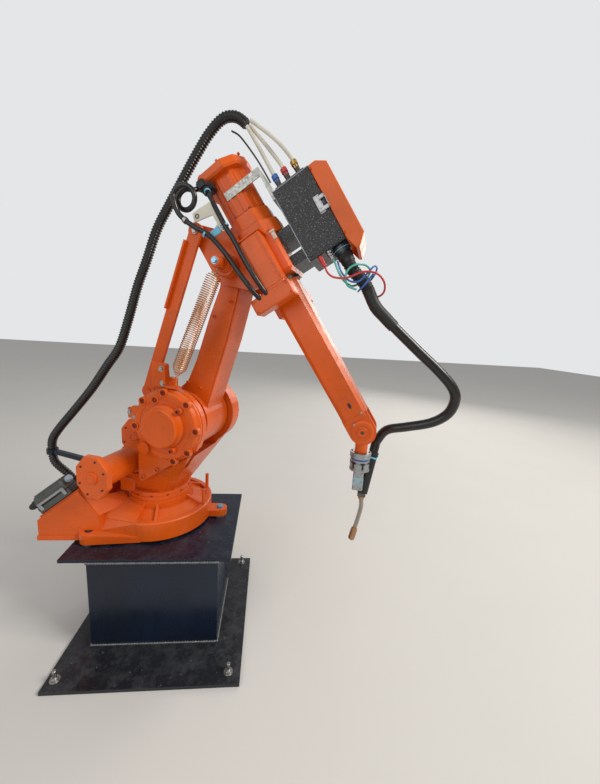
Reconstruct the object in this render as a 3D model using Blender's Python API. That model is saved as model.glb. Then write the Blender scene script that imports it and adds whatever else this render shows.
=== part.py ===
"""Six-axis industrial robot arm with a welding torch, standing on a welded steel pedestal.

Metres, +Z up. +X is the front of the pedestal, and the origin lies on axis 1 at the underside
of the floor plate. The arm stands turned by ARM_TURN about axis 1, its lower arm tilted
forward and its upper arm pointing down, with the torch hanging straight down.
"""

from math import atan2, cos, hypot, pi, radians, sin

import bmesh
import bpy
from mathutils import Matrix, Vector

# gaps
FIT = 0.0003            # between pieces that touch
RUN = 0.0055            # between pieces that move past each other
BORE = 0.0006           # around a pin

# pedestal
PEDESTAL_HEIGHT = 0.372
PLATE = 0.012
FLOOR_PLATE_SIZE = (0.645, 0.630)
FLOOR_PLATE_CENTRE = (0.0725, -0.1475)
TUBE_SIZE = (0.460, 0.320)
TUBE_CENTRE = (0.063, -0.1415)
TUBE_WALL = 0.010
TOP_PLATE_SIZE = (0.602, 0.485)
TOP_PLATE_CENTRE = (0.039, -0.059)

# base casting
PAD_HEIGHT = 0.006
BASE_Z = PEDESTAL_HEIGHT + PAD_HEIGHT
DRUM_RADIUS = 0.215
RIM_TOP = 0.456
RIM_WIDTH = 0.024
HUB_RADIUS = 0.128
HUB_TOP = 0.500
DECK_INNER_TOP = 0.468
FOOT_TOP = 0.418
FOOT_RADIUS = 0.034
REAR_FOOT = (-0.205, 0.196)
FRONT_FOOT_X = DRUM_RADIUS + 0.041
FRONT_FOOT_TOP = 0.406
RIB = 0.010
RIB_ANGLES = (-104, -79, -17, 42, 79, 104)
BOX_HALF_WIDTH = 0.200
BOX_REAR = -0.385
BOX_LOW = 0.384
SLOPE_LOW = 0.462
SLOPE_TOP = (-0.235, 0.580)
BOX_FRONT = (-0.168, 0.478)
PANEL_THICKNESS = 0.006
PIN_ANGLES = (27, -17)
PIN_RADIUS = 0.0075
PIN_HEIGHT = 0.067

# axes
ARM_TURN = radians(-18.5)
AXIS2_X = 0.150
AXIS2_Z = PEDESTAL_HEIGHT + 0.475
LOWER_TILT = radians(19.3)
LOWER_LENGTH = 0.600
FOREARM_DIP = radians(56.6)
ELBOW_OFFSET = 0.120
FOREARM_LENGTH = 0.720

# turret
TURRET_RING = 0.118
TURRET_LOW = 0.530
TURRET_FRONT = ((0.140, 0.668), (0.225, 0.725))
TURRET_REAR = (-0.130, 0.630)
BRACKET_SEAT = -0.136
SHOULDER_RADIUS = 0.136
FAR_RADIUS = 0.1415
NEAR_OUT = -0.150
FAR_OUT = 0.150
HUB_HALF = 0.085
CRANK_Y = (-0.1035, -0.0905)
ROD_Y = (-0.1185, -0.1065)
CHEEK_IN = ROD_Y[0] - RUN
ARM_HUB_RADIUS = 0.118
LEVER_LENGTH = 0.156
LEVER_ANGLE = radians(136)
ROD_WIDTH = 0.044
PIVOT_RADIUS = 0.012
EYE_RADIUS = 0.026
MOTOR_RADIUS = 0.052
MIDDLE_MOTOR_RADIUS = 0.066
CAP_RADIUS = 0.0785
CAP_NARROWING = 0.85
SIDE_MOTOR = (-0.050, 0.669)
SIDE_MOTOR_SEAT = -0.100
MIDDLE_MOTOR = (-0.081, 0.734)
COVER_THICKNESS = 0.030

# lower arm and elbow
ARM_HALF = 0.067
ELBOW_RADIUS = 0.052
PLATE_Y = (-0.0905, -0.0725)
SHAFT_RADIUS = 0.017
SHAFT_Y = (-0.196, 0.125)
SPRING_Y = -0.165
SPRING_RADIUS = 0.025
SPRING_WIRE = 0.0032
SPRING_COILS = 30
HOOK_SEAT = 0.996

# upper arm
HOUSING_X = (-0.030, 0.120)
HOUSING_Z = (0.062, 0.190)
GEAR_AXIS_Z = ELBOW_OFFSET + 0.006
RING_X = (-0.125, -0.060)
COLLAR_X = -0.072
RING_HALF = 0.077
COLLAR_HALF = 0.0895
REAR_MOTOR_HALF = 0.066
REAR_MOTOR_X = -0.274
REAR_CAP_X = -0.306
SIDE_MOTOR_X = (-0.020, 0.155)
SIDE_MOTOR_Z = (0.085, 0.155)
SIDE_MOTOR_OUT = 0.150
SIDE_CAP_X = 0.207
SIDE_CAP_Z = (0.020, 0.166)

# wire feeder
FEEDER_X = (-0.125, 0.130)
FEEDER_Y = (-0.065, 0.115)
FEEDER_Z = (0.242, 0.378)
LID_TOP = 0.434
LID_FRONT = 0.178
LID_WALL = 0.004

# forearm, wrist and tool
FOREARM_START = 0.1355
FOREARM_BACK_HALF = 0.053
FOREARM_FRONT_HALF = 0.048
FORK_START = 0.655
FORK_IN = 0.0300
FORK_OUT = 0.0460
WRIST_RADIUS = 0.036
NECK_RADIUS = 0.023
FLANGE_Z = -0.087
FLANGE_RADIUS = 0.0375
FLANGE_THICKNESS = 0.021
SENSOR_RADIUS = 0.0355
SENSOR_Z = -0.158
HOLDER_Z = -0.235
TORCH_HEAD = (0.046, 0.064, -0.110)
TORCH_FOOT = (0.019, 0.002, -0.262)
TORCH_RADIUS = 0.0185

# hoses
CONDUIT_RADIUS = 0.0165
HOSE_RADIUS = 0.0065
CABLE_RADIUS = 0.0175

for old in list(bpy.data.objects):
    bpy.data.objects.remove(old, do_unlink=True)


def material(name, colour, roughness, metallic=0.0):
    made = bpy.data.materials.new(name)
    made.use_nodes = True
    shader = made.node_tree.nodes["Principled BSDF"]
    shader.inputs["Base Color"].default_value = (*colour, 1.0)
    shader.inputs["Roughness"].default_value = roughness
    shader.inputs["Metallic"].default_value = metallic
    return made


ORANGE = material("orange_paint", (0.78, 0.13, 0.02), 0.4)
BLACK = material("black_paint", (0.02, 0.022, 0.028), 0.35)
STEEL = material("zinc_steel", (0.55, 0.55, 0.53), 0.4, 1.0)
GREY = material("grey_metal", (0.33, 0.33, 0.31), 0.5, 0.6)
CREAM = material("cream_paint", (0.72, 0.70, 0.58), 0.5)
RUBBER = material("black_rubber", (0.015, 0.015, 0.016), 0.6)
WHITE = material("white_hose", (0.75, 0.73, 0.66), 0.5)
BRASS = material("brass", (0.6, 0.42, 0.16), 0.35, 1.0)


def frame(name, location, turn=(0, 0, 0), parent=None):
    """An empty that carries the pieces of one link, with its origin on that link's axis."""
    empty = bpy.data.objects.new(name, None)
    bpy.context.collection.objects.link(empty)
    empty.location = location
    empty.rotation_euler = turn
    empty.parent = parent
    return empty


def from_axis2(along, across):
    """A point of the arm's plane, along and across the lower arm from axis 2."""
    return (AXIS2_X + along * sin(LOWER_TILT) + across * cos(LOWER_TILT),
            AXIS2_Z + along * cos(LOWER_TILT) - across * sin(LOWER_TILT))


ELBOW = from_axis2(LOWER_LENGTH, 0)


def from_elbow(along, normal):
    """A point of the arm's plane, along the forearm and square to it from the elbow."""
    return (ELBOW[0] + along * cos(FOREARM_DIP) + normal * sin(FOREARM_DIP),
            ELBOW[1] - along * sin(FOREARM_DIP) + normal * cos(FOREARM_DIP))


WRIST = from_elbow(FOREARM_LENGTH, ELBOW_OFFSET)
LEVER = (LEVER_LENGTH * cos(LEVER_ANGLE), LEVER_LENGTH * sin(LEVER_ANGLE))
CRANK_PIN = (AXIS2_X + LEVER[0], AXIS2_Z + LEVER[1])
LEVER_PIN = (ELBOW[0] + LEVER[0], ELBOW[1] + LEVER[1])

ARM = frame("arm_axes", (0, 0, 0), (0, 0, ARM_TURN))
LOWER = frame("lower_arm_axes", (AXIS2_X, 0, AXIS2_Z), (0, LOWER_TILT, 0), ARM)
UPPER = frame("upper_arm_axes", (ELBOW[0], 0, ELBOW[1]), (0, FOREARM_DIP, 0), ARM)
HAND = frame("wrist_axes", (WRIST[0], 0, WRIST[1]), (0, 0, 0), ARM)
SLOPE_RUN = (SLOPE_TOP[0] - BOX_REAR, SLOPE_TOP[1] - SLOPE_LOW)
SLOPE_LENGTH = hypot(*SLOPE_RUN)


def on_slope(run, rise):
    """A point of the sloping rear panel, up along it and out from it, as (x, z)."""
    tilt = atan2(SLOPE_RUN[1], SLOPE_RUN[0])
    return (BOX_REAR + run * cos(tilt) - rise * sin(tilt),
            SLOPE_LOW + run * sin(tilt) + rise * cos(tilt))


PANEL = frame("panel_axes", (BOX_REAR, 0, SLOPE_LOW), (0, -atan2(SLOPE_RUN[1], SLOPE_RUN[0]), 0))


# shapes, each a closed bmesh in the coordinates of its frame

def arc(centre, radius, start=0.0, end=360.0, steps=32):
    """Points on an arc, in degrees; a full circle leaves out its last point."""
    count = steps if end - start >= 360.0 else steps + 1
    return [(centre[0] + radius * cos(radians(start + (end - start) * i / steps)),
             centre[1] + radius * sin(radians(start + (end - start) * i / steps)))
            for i in range(count)]


def soften(shape, width, segments=1, sharpest=30.0):
    """Round the edges of a shape that turn by more than an angle."""
    edges = [e for e in shape.edges if e.is_manifold and e.calc_face_angle() > radians(sharpest)]
    bmesh.ops.bevel(shape, geom=edges, offset=width, segments=segments, affect="EDGES",
                    clamp_overlap=True)
    return shape


def hull(points):
    shape = bmesh.new()
    for point in points:
        shape.verts.new(point)
    result = bmesh.ops.convex_hull(shape, input=shape.verts)
    spare = [v for v in result["geom_interior"] + result["geom_unused"]
             if isinstance(v, bmesh.types.BMVert)]
    bmesh.ops.delete(shape, geom=list(set(spare)), context="VERTS")
    bmesh.ops.dissolve_limit(shape, angle_limit=radians(0.5), verts=shape.verts, edges=shape.edges)
    bmesh.ops.recalc_face_normals(shape, faces=shape.faces)
    return shape


def extruded(corners, step):
    """A face through the corners, drawn out along step."""
    shape = bmesh.new()
    face = shape.faces.new([shape.verts.new(c) for c in corners])
    grown = bmesh.ops.extrude_face_region(shape, geom=[face])["geom"]
    bmesh.ops.translate(shape, vec=step, verts=[v for v in grown if isinstance(v, bmesh.types.BMVert)])
    bmesh.ops.recalc_face_normals(shape, faces=shape.faces)
    return shape


def across(outline, y0, y1):
    """An outline of (x, z) points drawn out along Y."""
    return extruded([(x, y0, z) for x, z in outline], (0, y1 - y0, 0))


def upward(outline, z0, z1):
    """An outline of (x, y) points drawn out along Z."""
    return extruded([(x, y, z0) for x, y in outline], (0, 0, z1 - z0))


def hull_across(outline, y0, y1):
    """The convex outline of (x, z) points drawn out along Y."""
    return hull([(x, y, z) for x, z in outline for y in (y0, y1)])


def block(x, y, z, edge=0.0):
    shape = hull([(a, b, c) for a in x for b in y for c in z])
    return soften(shape, edge) if edge else shape


def turned(profile, sides=32):
    """A profile of (radius, height) points, from the axis to the axis, spun about Z."""
    shape = bmesh.new()
    points = [shape.verts.new((r, 0, h)) for r, h in profile]
    edges = [shape.edges.new(pair) for pair in zip(points, points[1:])]
    bmesh.ops.spin(shape, geom=points + edges, axis=(0, 0, 1), cent=(0, 0, 0), steps=sides,
                   angle=2 * pi, use_merge=True, use_duplicate=False)
    bmesh.ops.remove_doubles(shape, verts=shape.verts, dist=0.00001)
    bmesh.ops.recalc_face_normals(shape, faces=shape.faces)
    return shape


def aimed(shape, direction, at):
    """Turn a shape's Z to a direction and move its origin to a place."""
    turn = Vector((0, 0, 1)).rotation_difference(Vector(direction)).to_matrix().to_4x4()
    bmesh.ops.transform(shape, matrix=Matrix.Translation(at) @ turn, verts=shape.verts)
    return shape


def rod_y(centre, radius, y0, y1, sides=32):
    return across(arc(centre, radius, steps=sides), y0, y1)


def rod_z(centre, radius, z0, z1, sides=32):
    return upward(arc(centre, radius, steps=sides), z0, z1)


def rod_x(centre, radius, x0, x1, sides=32):
    """A rod along X about a centre (y, z)."""
    return extruded([(x0, y, z) for y, z in arc(centre, radius, steps=sides)], (x1 - x0, 0, 0))


def octagon(centre, flat, turn=22.5):
    """Corners of an octagon with its flats at a distance from the centre."""
    return arc(centre, flat / cos(pi / 8), turn, turn + 360, 8)


def scene_object(name, shape, parent):
    mesh = bpy.data.meshes.new(name)
    shape.to_mesh(mesh)
    shape.free()
    made = bpy.data.objects.new(name, mesh)
    bpy.context.collection.objects.link(made)
    made.parent = parent
    return made


def solid(name, finish, parent, shape, joins=(), cuts=()):
    """One piece: a shape, with other shapes fused to it and then others cut from it."""
    piece = scene_object(name, shape, parent)
    piece.data.materials.append(finish)
    for kind, tools in (("UNION", joins), ("DIFFERENCE", cuts)):
        for index, tool in enumerate(tools):
            helper = scene_object(f"{name}_{kind.lower()}_{index}", tool, parent)
            helper.hide_render = True
            helper.display_type = "WIRE"
            step = piece.modifiers.new(f"{kind.lower()}_{index}", "BOOLEAN")
            step.operation = kind
            step.object = helper
            step.solver = "EXACT"
    return piece


def smooth(points, first, last):
    """Close points on the smooth curve through a route, from one of its own points to another."""
    known = [Vector(p) for p in (points[0], *points, points[-1])]
    fine = []
    for i in range(first, last):
        p0, p1, p2, p3 = known[i:i + 4]
        for k in range(20):
            t = k / 20
            fine.append(0.5 * (2 * p1 + (p2 - p0) * t + (2 * p0 - 5 * p1 + 4 * p2 - p3) * t * t
                               + (3 * p1 - p0 - 3 * p2 + p3) * t ** 3))
    return fine + [known[last + 1]]


def heading(points, index):
    """The direction of a route at one of its own points."""
    ahead = points[min(index + 1, len(points) - 1)]
    return (Vector(ahead) - Vector(points[max(index - 1, 0)])).normalized()


def evenly(fine, spacing, straight):
    """Points at even steps along a curve, away from its two straight ends."""
    total = sum((b - a).length for a, b in zip(fine, fine[1:]))
    count = max(2, round((total - 2 * straight) / spacing))
    stops = [straight + (total - 2 * straight) * i / count for i in range(1, count)]
    route = []
    walked = 0.0
    for a, b in zip(fine, fine[1:]):
        step = (b - a).length
        while stops and step > 0 and walked + step >= stops[0]:
            route.append(a.lerp(b, (stops[0] - walked) / step))
            stops.pop(0)
        walked += step
    return route


def hose(names, finish, points, radius, breaks=(), parent=ARM, sides=2, spacing=2.5):
    """A plain round hose along a route, in one piece or cut at some of the route's points."""
    ends = (0, *breaks, len(points) - 1)
    straight = 0.8 * radius
    for name, first, last in zip(names, ends, ends[1:]):
        fine = smooth(points, first, last)
        start, finish_at = fine[0], fine[-1]
        if first:
            start = start + heading(points, first) * FIT
        out, back = heading(points, first) * straight, heading(points, last) * straight
        route = [start, start + out, *evenly(fine, 2 * radius * spacing, straight),
                 finish_at - back, finish_at]
        curve = bpy.data.curves.new(name, "CURVE")
        curve.dimensions = "3D"
        curve.bevel_depth = radius
        curve.bevel_resolution = sides
        curve.use_fill_caps = True
        curve.materials.append(finish)
        spline = curve.splines.new("POLY")
        spline.points.add(len(route) - 1)
        for spot, point in zip(spline.points, route):
            spot.co = (*point, 1.0)
        made = bpy.data.objects.new(name, curve)
        bpy.context.collection.objects.link(made)
        made.parent = parent


def plate_box(size, centre, z0, z1):
    return block((centre[0] - size[0] / 2, centre[0] + size[0] / 2),
                 (centre[1] - size[1] / 2, centre[1] + size[1] / 2), (z0, z1))


# pedestal

def pedestal():
    low, high = PLATE + FIT, PEDESTAL_HEIGHT - PLATE - FIT
    hollow = (TUBE_SIZE[0] - 2 * TUBE_WALL, TUBE_SIZE[1] - 2 * TUBE_WALL)
    solid("floor_plate", BLACK, None, plate_box(FLOOR_PLATE_SIZE, FLOOR_PLATE_CENTRE, 0, PLATE))
    solid("pedestal_column", BLACK, None, plate_box(TUBE_SIZE, TUBE_CENTRE, low, high),
          cuts=[plate_box(hollow, TUBE_CENTRE, low - PLATE, high + PLATE)])
    solid("top_plate", BLACK, None,
          plate_box(TOP_PLATE_SIZE, TOP_PLATE_CENTRE, PEDESTAL_HEIGHT - PLATE, PEDESTAL_HEIGHT))


# base casting

def robot_base():
    reach = DRUM_RADIUS
    drum = [(0, BASE_Z), (reach - 0.004, BASE_Z), (reach, BASE_Z + 0.004),
            (reach, RIM_TOP - 0.004), (reach - 0.004, RIM_TOP),
            (reach - RIM_WIDTH, RIM_TOP), (reach - RIM_WIDTH, RIM_TOP - 0.012),
            (HUB_RADIUS + 0.008, DECK_INNER_TOP), (HUB_RADIUS, DECK_INNER_TOP),
            (HUB_RADIUS, HUB_TOP), (0, HUB_TOP)]
    sides = (1, -1)
    foot_y = REAR_FOOT[1]
    flank = hull([(x, y * side, z) for side in sides for x, y, z in (
        (-0.13 * reach, 0.989 * reach, RIM_TOP - 0.0005), (-0.190, 0.166, RIM_TOP - 0.0005),
        (-0.13 * reach, 0.989 * reach, BASE_Z), (-0.190, foot_y, BASE_Z),
        (-0.190, foot_y, FOOT_TOP - 0.004), (0, 0.1, BASE_Z), (0, 0.1, RIM_TOP - 0.0005))])
    deck = hull([(x, y * side, z) for side in sides for x, y, z in (
        (-0.035, 0.200, 0.430), (-0.035, 0.200, RIM_TOP), (-0.028, 0.160, 0.474),
        (-0.045, 0.112, 0.485), (-0.185, 0.166, 0.430), (-0.185, 0.166, RIM_TOP),
        (-0.172, 0.155, 0.472), (-0.110, 0.075, 0.490))])
    box = across([(BOX_REAR, BOX_LOW), (BOX_REAR, SLOPE_LOW), SLOPE_TOP, BOX_FRONT,
                  (-0.150, BOX_LOW)], -BOX_HALF_WIDTH, BOX_HALF_WIDTH)
    saddle = hull([(x, y * side, z) for side in sides for x, y, z in (
        (SLOPE_TOP[0] - 0.001, BOX_HALF_WIDTH - 0.001, SLOPE_TOP[1] - 0.003),
        (BOX_FRONT[0] - 0.004, BOX_HALF_WIDTH - 0.003, BOX_FRONT[1]), (-0.185, 0.166, 0.450),
        (-0.098, 0.085, 0.474), (-0.0005 - TURRET_RING, 0.075, HUB_TOP - 0.0005))])
    trough = upward([(-0.222, -0.148), (-0.180, -0.148), (-0.136, -0.064), (-0.136, 0.064),
                     (-0.180, 0.148), (-0.222, 0.148)], 0.440, 0.620)
    ledge = block((BOX_REAR - 0.003, -0.215), (-BOX_HALF_WIDTH - 0.005, BOX_HALF_WIDTH + 0.005),
                  (BOX_LOW - 0.002, BOX_LOW + 0.016))
    feet = [hull([(x, y * side, z) for x, y in arc((REAR_FOOT[0], foot_y), FOOT_RADIUS, steps=24)
                  for z in (BASE_Z, FOOT_TOP)]
                 + [(-0.05 * reach, 0.993 * reach * side, z) for z in (BASE_Z, FOOT_TOP - 0.018)])
            for side in sides]
    feet.append(upward(arc((FRONT_FOOT_X, 0), FOOT_RADIUS - 0.003, -90, 90, 12)
                       + [(reach - 0.025, FOOT_RADIUS), (reach - 0.025, -FOOT_RADIUS)],
                       BASE_Z, FRONT_FOOT_TOP))
    pads = [rod_z(spot, FOOT_RADIUS - 0.008, PEDESTAL_HEIGHT + FIT, BASE_Z + 0.004, 20) for spot in
            ((REAR_FOOT[0], foot_y), (REAR_FOOT[0], -foot_y), (FRONT_FOOT_X, 0))]
    ribs = []
    for angle in RIB_ANGLES:
        rib = across([(HUB_RADIUS - 0.01, BASE_Z + 0.04), (reach - 0.01, BASE_Z + 0.04),
                      (reach - 0.01, RIM_TOP - 0.003), (HUB_RADIUS - 0.01, HUB_TOP - 0.010)],
                     -RIB / 2, RIB / 2)
        bmesh.ops.rotate(rib, cent=(0, 0, 0), matrix=Matrix.Rotation(radians(angle), 3, "Z"),
                         verts=rib.verts)
        ribs.append(rib)
    panel = across([on_slope(0.004, -0.004), on_slope(0.004, PANEL_THICKNESS),
                    on_slope(SLOPE_LENGTH - 0.006, PANEL_THICKNESS),
                    on_slope(SLOPE_LENGTH - 0.006, -0.004)], -0.185, 0.185)
    pin_reach = reach - RIM_WIDTH / 2
    pins = [rod_z((pin_reach * cos(radians(angle)), pin_reach * sin(radians(angle))), PIN_RADIUS,
                  RIM_TOP - 0.006, RIM_TOP + PIN_HEIGHT, 16) for angle in PIN_ANGLES]
    solid("robot_base", ORANGE, None, turned(drum, 56),
          joins=[flank, deck, box, saddle, ledge, panel] + feet + pads + ribs + pins, cuts=[trough])


def connectors():
    """The heavy-duty plug hood and the conduit's gland on the sloping rear panel."""
    seat = PANEL_THICKNESS + FIT
    hood = block((0.022, 0.152), (-0.180, -0.115), (seat + 0.022, seat + 0.066), 0.006)
    bottom = block((0.014, 0.160), (-0.184, -0.111), (seat, seat + 0.026), 0.003)
    entry = rod_x((-0.1475, seat + 0.042), 0.014, -0.002, 0.030, 16)
    solid("connector_hood", GREY, PANEL, bottom, joins=[hood, entry])
    solid("conduit_gland", BLACK, PANEL,
          turned([(0, seat), (0.030, seat), (0.030, seat + 0.010), (0.024, seat + 0.014),
                  (0.024, GLAND_TOP), (0, GLAND_TOP)], 24))
    bpy.data.objects["conduit_gland"].location = (GLAND_X, GLAND_Y, 0)


# turret

def lobe(centre, radius):
    return arc(centre, radius, steps=40)


def turret():
    ring = rod_z((0, 0), TURRET_RING, HUB_TOP + FIT, TURRET_LOW + 0.004, 48)
    body = hull([(x, y, TURRET_LOW) for x in (-0.100, 0.100) for y in (-0.060, 0.060)]
                + [(x, y, TURRET_LOW) for x in (-0.060, 0.070) for y in (-0.095, 0.095)]
                + [(TURRET_REAR[0], y, TURRET_REAR[1]) for y in (SIDE_MOTOR_SEAT, FAR_OUT)]
                + [(x, y, z) for x, z in TURRET_FRONT for y in (NEAR_OUT, FAR_OUT)])
    axis2 = (AXIS2_X, AXIS2_Z)
    near = hull_across(lobe(axis2, SHOULDER_RADIUS) + [(0.034, 0.616), (0.266, 0.768)],
                       NEAR_OUT, CHEEK_IN)
    far = hull_across(lobe(axis2, FAR_RADIUS) + lobe(MIDDLE_MOTOR, 0.078) + lobe(SIDE_MOTOR, 0.072),
                      HUB_HALF + RUN, FAR_OUT)
    seat = rod_y(SIDE_MOTOR, MOTOR_RADIUS + 0.012, SIDE_MOTOR_SEAT, -0.0665, 32)
    spring_pad = block((0.090, 0.172), (NEAR_OUT, CHEEK_IN), (0.930, 1.022), 0.003)
    lump = block((-0.116, -0.045), (-0.110, -0.060), (0.518, 0.580), 0.005)
    lug = block((BRACKET_SEAT, -0.090), (-0.118, -0.088), (0.590, 0.624))
    recess = rod_y(SIDE_MOTOR, MOTOR_RADIUS + 0.014, NEAR_OUT - 0.002, SIDE_MOTOR_SEAT, 32)
    solid("turret", ORANGE, ARM, body, joins=[ring, near, far, seat, spring_pad, lump, lug],
          cuts=[recess,
                rod_y(axis2, ARM_HUB_RADIUS + 0.035, CHEEK_IN + 0.02, HUB_HALF + RUN, 48),
                rod_y(axis2, LEVER_LENGTH + EYE_RADIUS + 0.010, CHEEK_IN, CRANK_Y[1] + RUN, 48)])


def shoulder():
    face = NEAR_OUT - FIT
    front = face - COVER_THICKNESS
    disc = turned([(0, 0), (SHOULDER_RADIUS - 0.006, 0), (SHOULDER_RADIUS, 0.004),
                   (SHOULDER_RADIUS, 0.012), (SHOULDER_RADIUS - 0.006, 0.016),
                   (SHOULDER_RADIUS - 0.010, COVER_THICKNESS - 0.004),
                   (SHOULDER_RADIUS - 0.014, COVER_THICKNESS), (0, COVER_THICKNESS)], 48)
    aimed(disc, (0, -1, 0), (AXIS2_X, face, AXIS2_Z))
    skirt = hull_across([(0.034, 0.800), (0.024, 0.690), (0.024, 0.622), (0.036, 0.608),
                         (0.268, 0.764), (0.276, 0.790)], face, face - 0.014)
    plug = rod_y((0.068, 0.757), 0.023, face, front - 0.012, 24)
    lug = block((0.004, 0.040), (face, face - 0.022), (0.868, 0.905), 0.004)
    cap = turned([(0, -0.004), (0.079, -0.004), (0.079, 0.010), (0.073, 0.015), (0.071, 0.035),
                  (0.067, 0.038), (0, 0.038)], 48)
    aimed(cap, (0, -1, 0), (AXIS2_X, front, AXIS2_Z))
    solid("shoulder_cover", ORANGE, ARM, disc, joins=[skirt, plug, lug, cap])
    dome = turned([(0, 0), (FAR_RADIUS - 0.003, 0), (FAR_RADIUS - 0.003, 0.010), (0.128, 0.024),
                   (0.106, 0.040), (0.080, 0.047), (0, 0.049)], 40)
    solid("far_gear_cover", ORANGE, ARM,
          aimed(dome, (0, 1, 0), (AXIS2_X, FAR_OUT + FIT, AXIS2_Z)))
    motor("shoulder_motor", SIDE_MOTOR, SIDE_MOTOR_SEAT - FIT, -0.285, MOTOR_RADIUS)
    motor("linkage_motor", SIDE_MOTOR, FAR_OUT + FIT, 0.285, MOTOR_RADIUS)
    motor("turning_motor", MIDDLE_MOTOR, HUB_HALF + RUN - FIT, -0.035, MIDDLE_MOTOR_RADIUS)


def motor(name, centre, seat, end, radius):
    """A round motor along Y from its seat, with a narrow octagonal end cap."""
    way = 1 if end > seat else -1
    outline = [(centre[0] + (x - centre[0]) * CAP_NARROWING, z)
               for x, z in octagon(centre, CAP_RADIUS)]
    cap = soften(across(outline, end - way * 0.001, end + way * 0.021), 0.003)
    solid(name, ORANGE, ARM, rod_y(centre, radius, seat, end, 32),
          joins=[rod_y(centre, radius + 0.008, seat, seat + way * 0.010, 32), cap,
                 rod_y(centre, 0.024, end + way * 0.018, end + way * 0.026, 24)])


def spring_bracket():
    face = NEAR_OUT - FIT
    plate = across([(0.086, 0.986), (0.086, 1.078), (0.150, 1.072), (0.156, 1.010), (0.172, 0.986)],
                   face - 0.008, face)
    flange = block((0.146, 0.152), (face - 0.026, face), (1.000, 1.066))
    hook_lug = block((0.150, 0.196), (SPRING_Y - 0.006, face), (HOOK_SEAT - 0.010, HOOK_SEAT))
    solid("spring_bracket", ORANGE, ARM, plate, joins=[flange, hook_lug])


def balance_spring():
    """The balance spring between the bracket and the elbow's shaft."""
    low = Vector((0.190, SPRING_Y, 1.030))
    pin = Vector((ELBOW[0], SPRING_Y, ELBOW[1]))
    way = (pin - low).normalized()
    length = (pin - low).length - SHAFT_RADIUS - 0.014
    pitch = length / SPRING_COILS
    wave = [(0, 0)]
    for i in range(SPRING_COILS):
        wave += [(SPRING_RADIUS - 0.003, pitch * i), (SPRING_RADIUS, pitch * (i + 0.5))]
    wave += [(SPRING_RADIUS - 0.003, length), (0, length)]
    hook = rod_z((0, 0), SPRING_WIRE, HOOK_SEAT + FIT - low.z, 0.004, 8)
    top_hook = rod_z((0, 0), SPRING_WIRE, length - 0.004, length + 0.014 - FIT, 8)
    solid("balance_spring", STEEL, ARM, aimed(turned(wave, 12), way, low),
          joins=[aimed(hook, (0, 0, 1), low), aimed(top_hook, way, low)])


def hose_bracket():
    seat = BRACKET_SEAT - FIT
    bar = across([(seat, 0.598), (-0.250, 0.612), (CLAMP[0] + 0.0195, 0.628),
                  (CLAMP[0] + 0.0195, 0.646), (-0.250, 0.630), (seat, 0.616)], -0.112, -0.094)
    ring = turned([(0, -0.011), (CONDUIT_RADIUS + 0.006, -0.011), (CONDUIT_RADIUS + 0.006, 0.011),
                   (0, 0.011)], 24)
    hole = rod_z((0, 0), CONDUIT_RADIUS + 2 * FIT, -0.05, 0.05, 24)
    solid("hose_bracket", BLACK, ARM, bar, joins=[aimed(ring, (0, 0, 1), CLAMP)],
          cuts=[aimed(hole, (0, 0, 1), CLAMP)])


# lower arm, crank and rod

def lower_arm():
    outline = [(-0.085, 0.083), (-0.050, 0.167), (-0.030, 0.250), (-0.023, 0.400), (-0.027, 0.700),
               (-0.024, 0.867), (-0.040, 1.0), (0.045, 1.0), (0.057, 0.842), (0.070, 0.600),
               (0.079, 0.167), (0.090, 0.083)]
    body = across([(x, LOWER_LENGTH * share) for x, share in outline], -ARM_HALF, ARM_HALF)
    top = rod_y((0, LOWER_LENGTH), ELBOW_RADIUS, -ARM_HALF, ARM_HALF, 40)
    hub = rod_y((0, 0), ARM_HUB_RADIUS, -HUB_HALF, HUB_HALF, 48)
    shaft = rod_y((0, LOWER_LENGTH), SHAFT_RADIUS, *SHAFT_Y, 24)
    solid("lower_arm", ORANGE, LOWER, hub, joins=[soften(body, 0.006, 2), top, shaft])


def crank():
    arm = hull_across(lobe((AXIS2_X, AXIS2_Z), 0.050) + lobe(CRANK_PIN, EYE_RADIUS), *CRANK_Y)
    pin = rod_y(CRANK_PIN, PIVOT_RADIUS, CRANK_Y[1] - 0.004, ROD_Y[0] - 0.003, 24)
    solid("crank", ORANGE, ARM, arm, joins=[pin])


def parallel_rod():
    """The flat rod beside the lower arm, with an eye at each pin and a stiffening edge."""
    along = Vector((sin(LOWER_TILT), 0, cos(LOWER_TILT)))
    side = Vector((cos(LOWER_TILT), 0, -sin(LOWER_TILT)))
    foot = Vector((CRANK_PIN[0], 0, CRANK_PIN[1]))

    def spot(up, out):
        place = foot + along * up + side * out
        return (place.x, place.z)

    half = ROD_WIDTH / 2
    bar = across([spot(0, -half), spot(0, half), spot(LOWER_LENGTH, half),
                  spot(LOWER_LENGTH, -half)], *ROD_Y)
    low, high = 0.533 * LOWER_LENGTH, 0.933 * LOWER_LENGTH
    edge = across([spot(low, -half - 0.001), spot(low, 0.006 - half),
                   spot(high, 0.006 - half), spot(high, -half - 0.001)],
                  ROD_Y[0] - 0.014, ROD_Y[1] - 0.003)
    eyes = [rod_y(pin, EYE_RADIUS, *ROD_Y, 32) for pin in (CRANK_PIN, LEVER_PIN)]
    bores = [rod_y(pin, PIVOT_RADIUS + BORE, ROD_Y[0] - 0.01, ROD_Y[1] + 0.01, 24)
             for pin in (CRANK_PIN, LEVER_PIN)]
    solid("parallel_rod", ORANGE, ARM, bar, joins=[edge] + eyes, cuts=bores)


# upper arm

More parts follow.
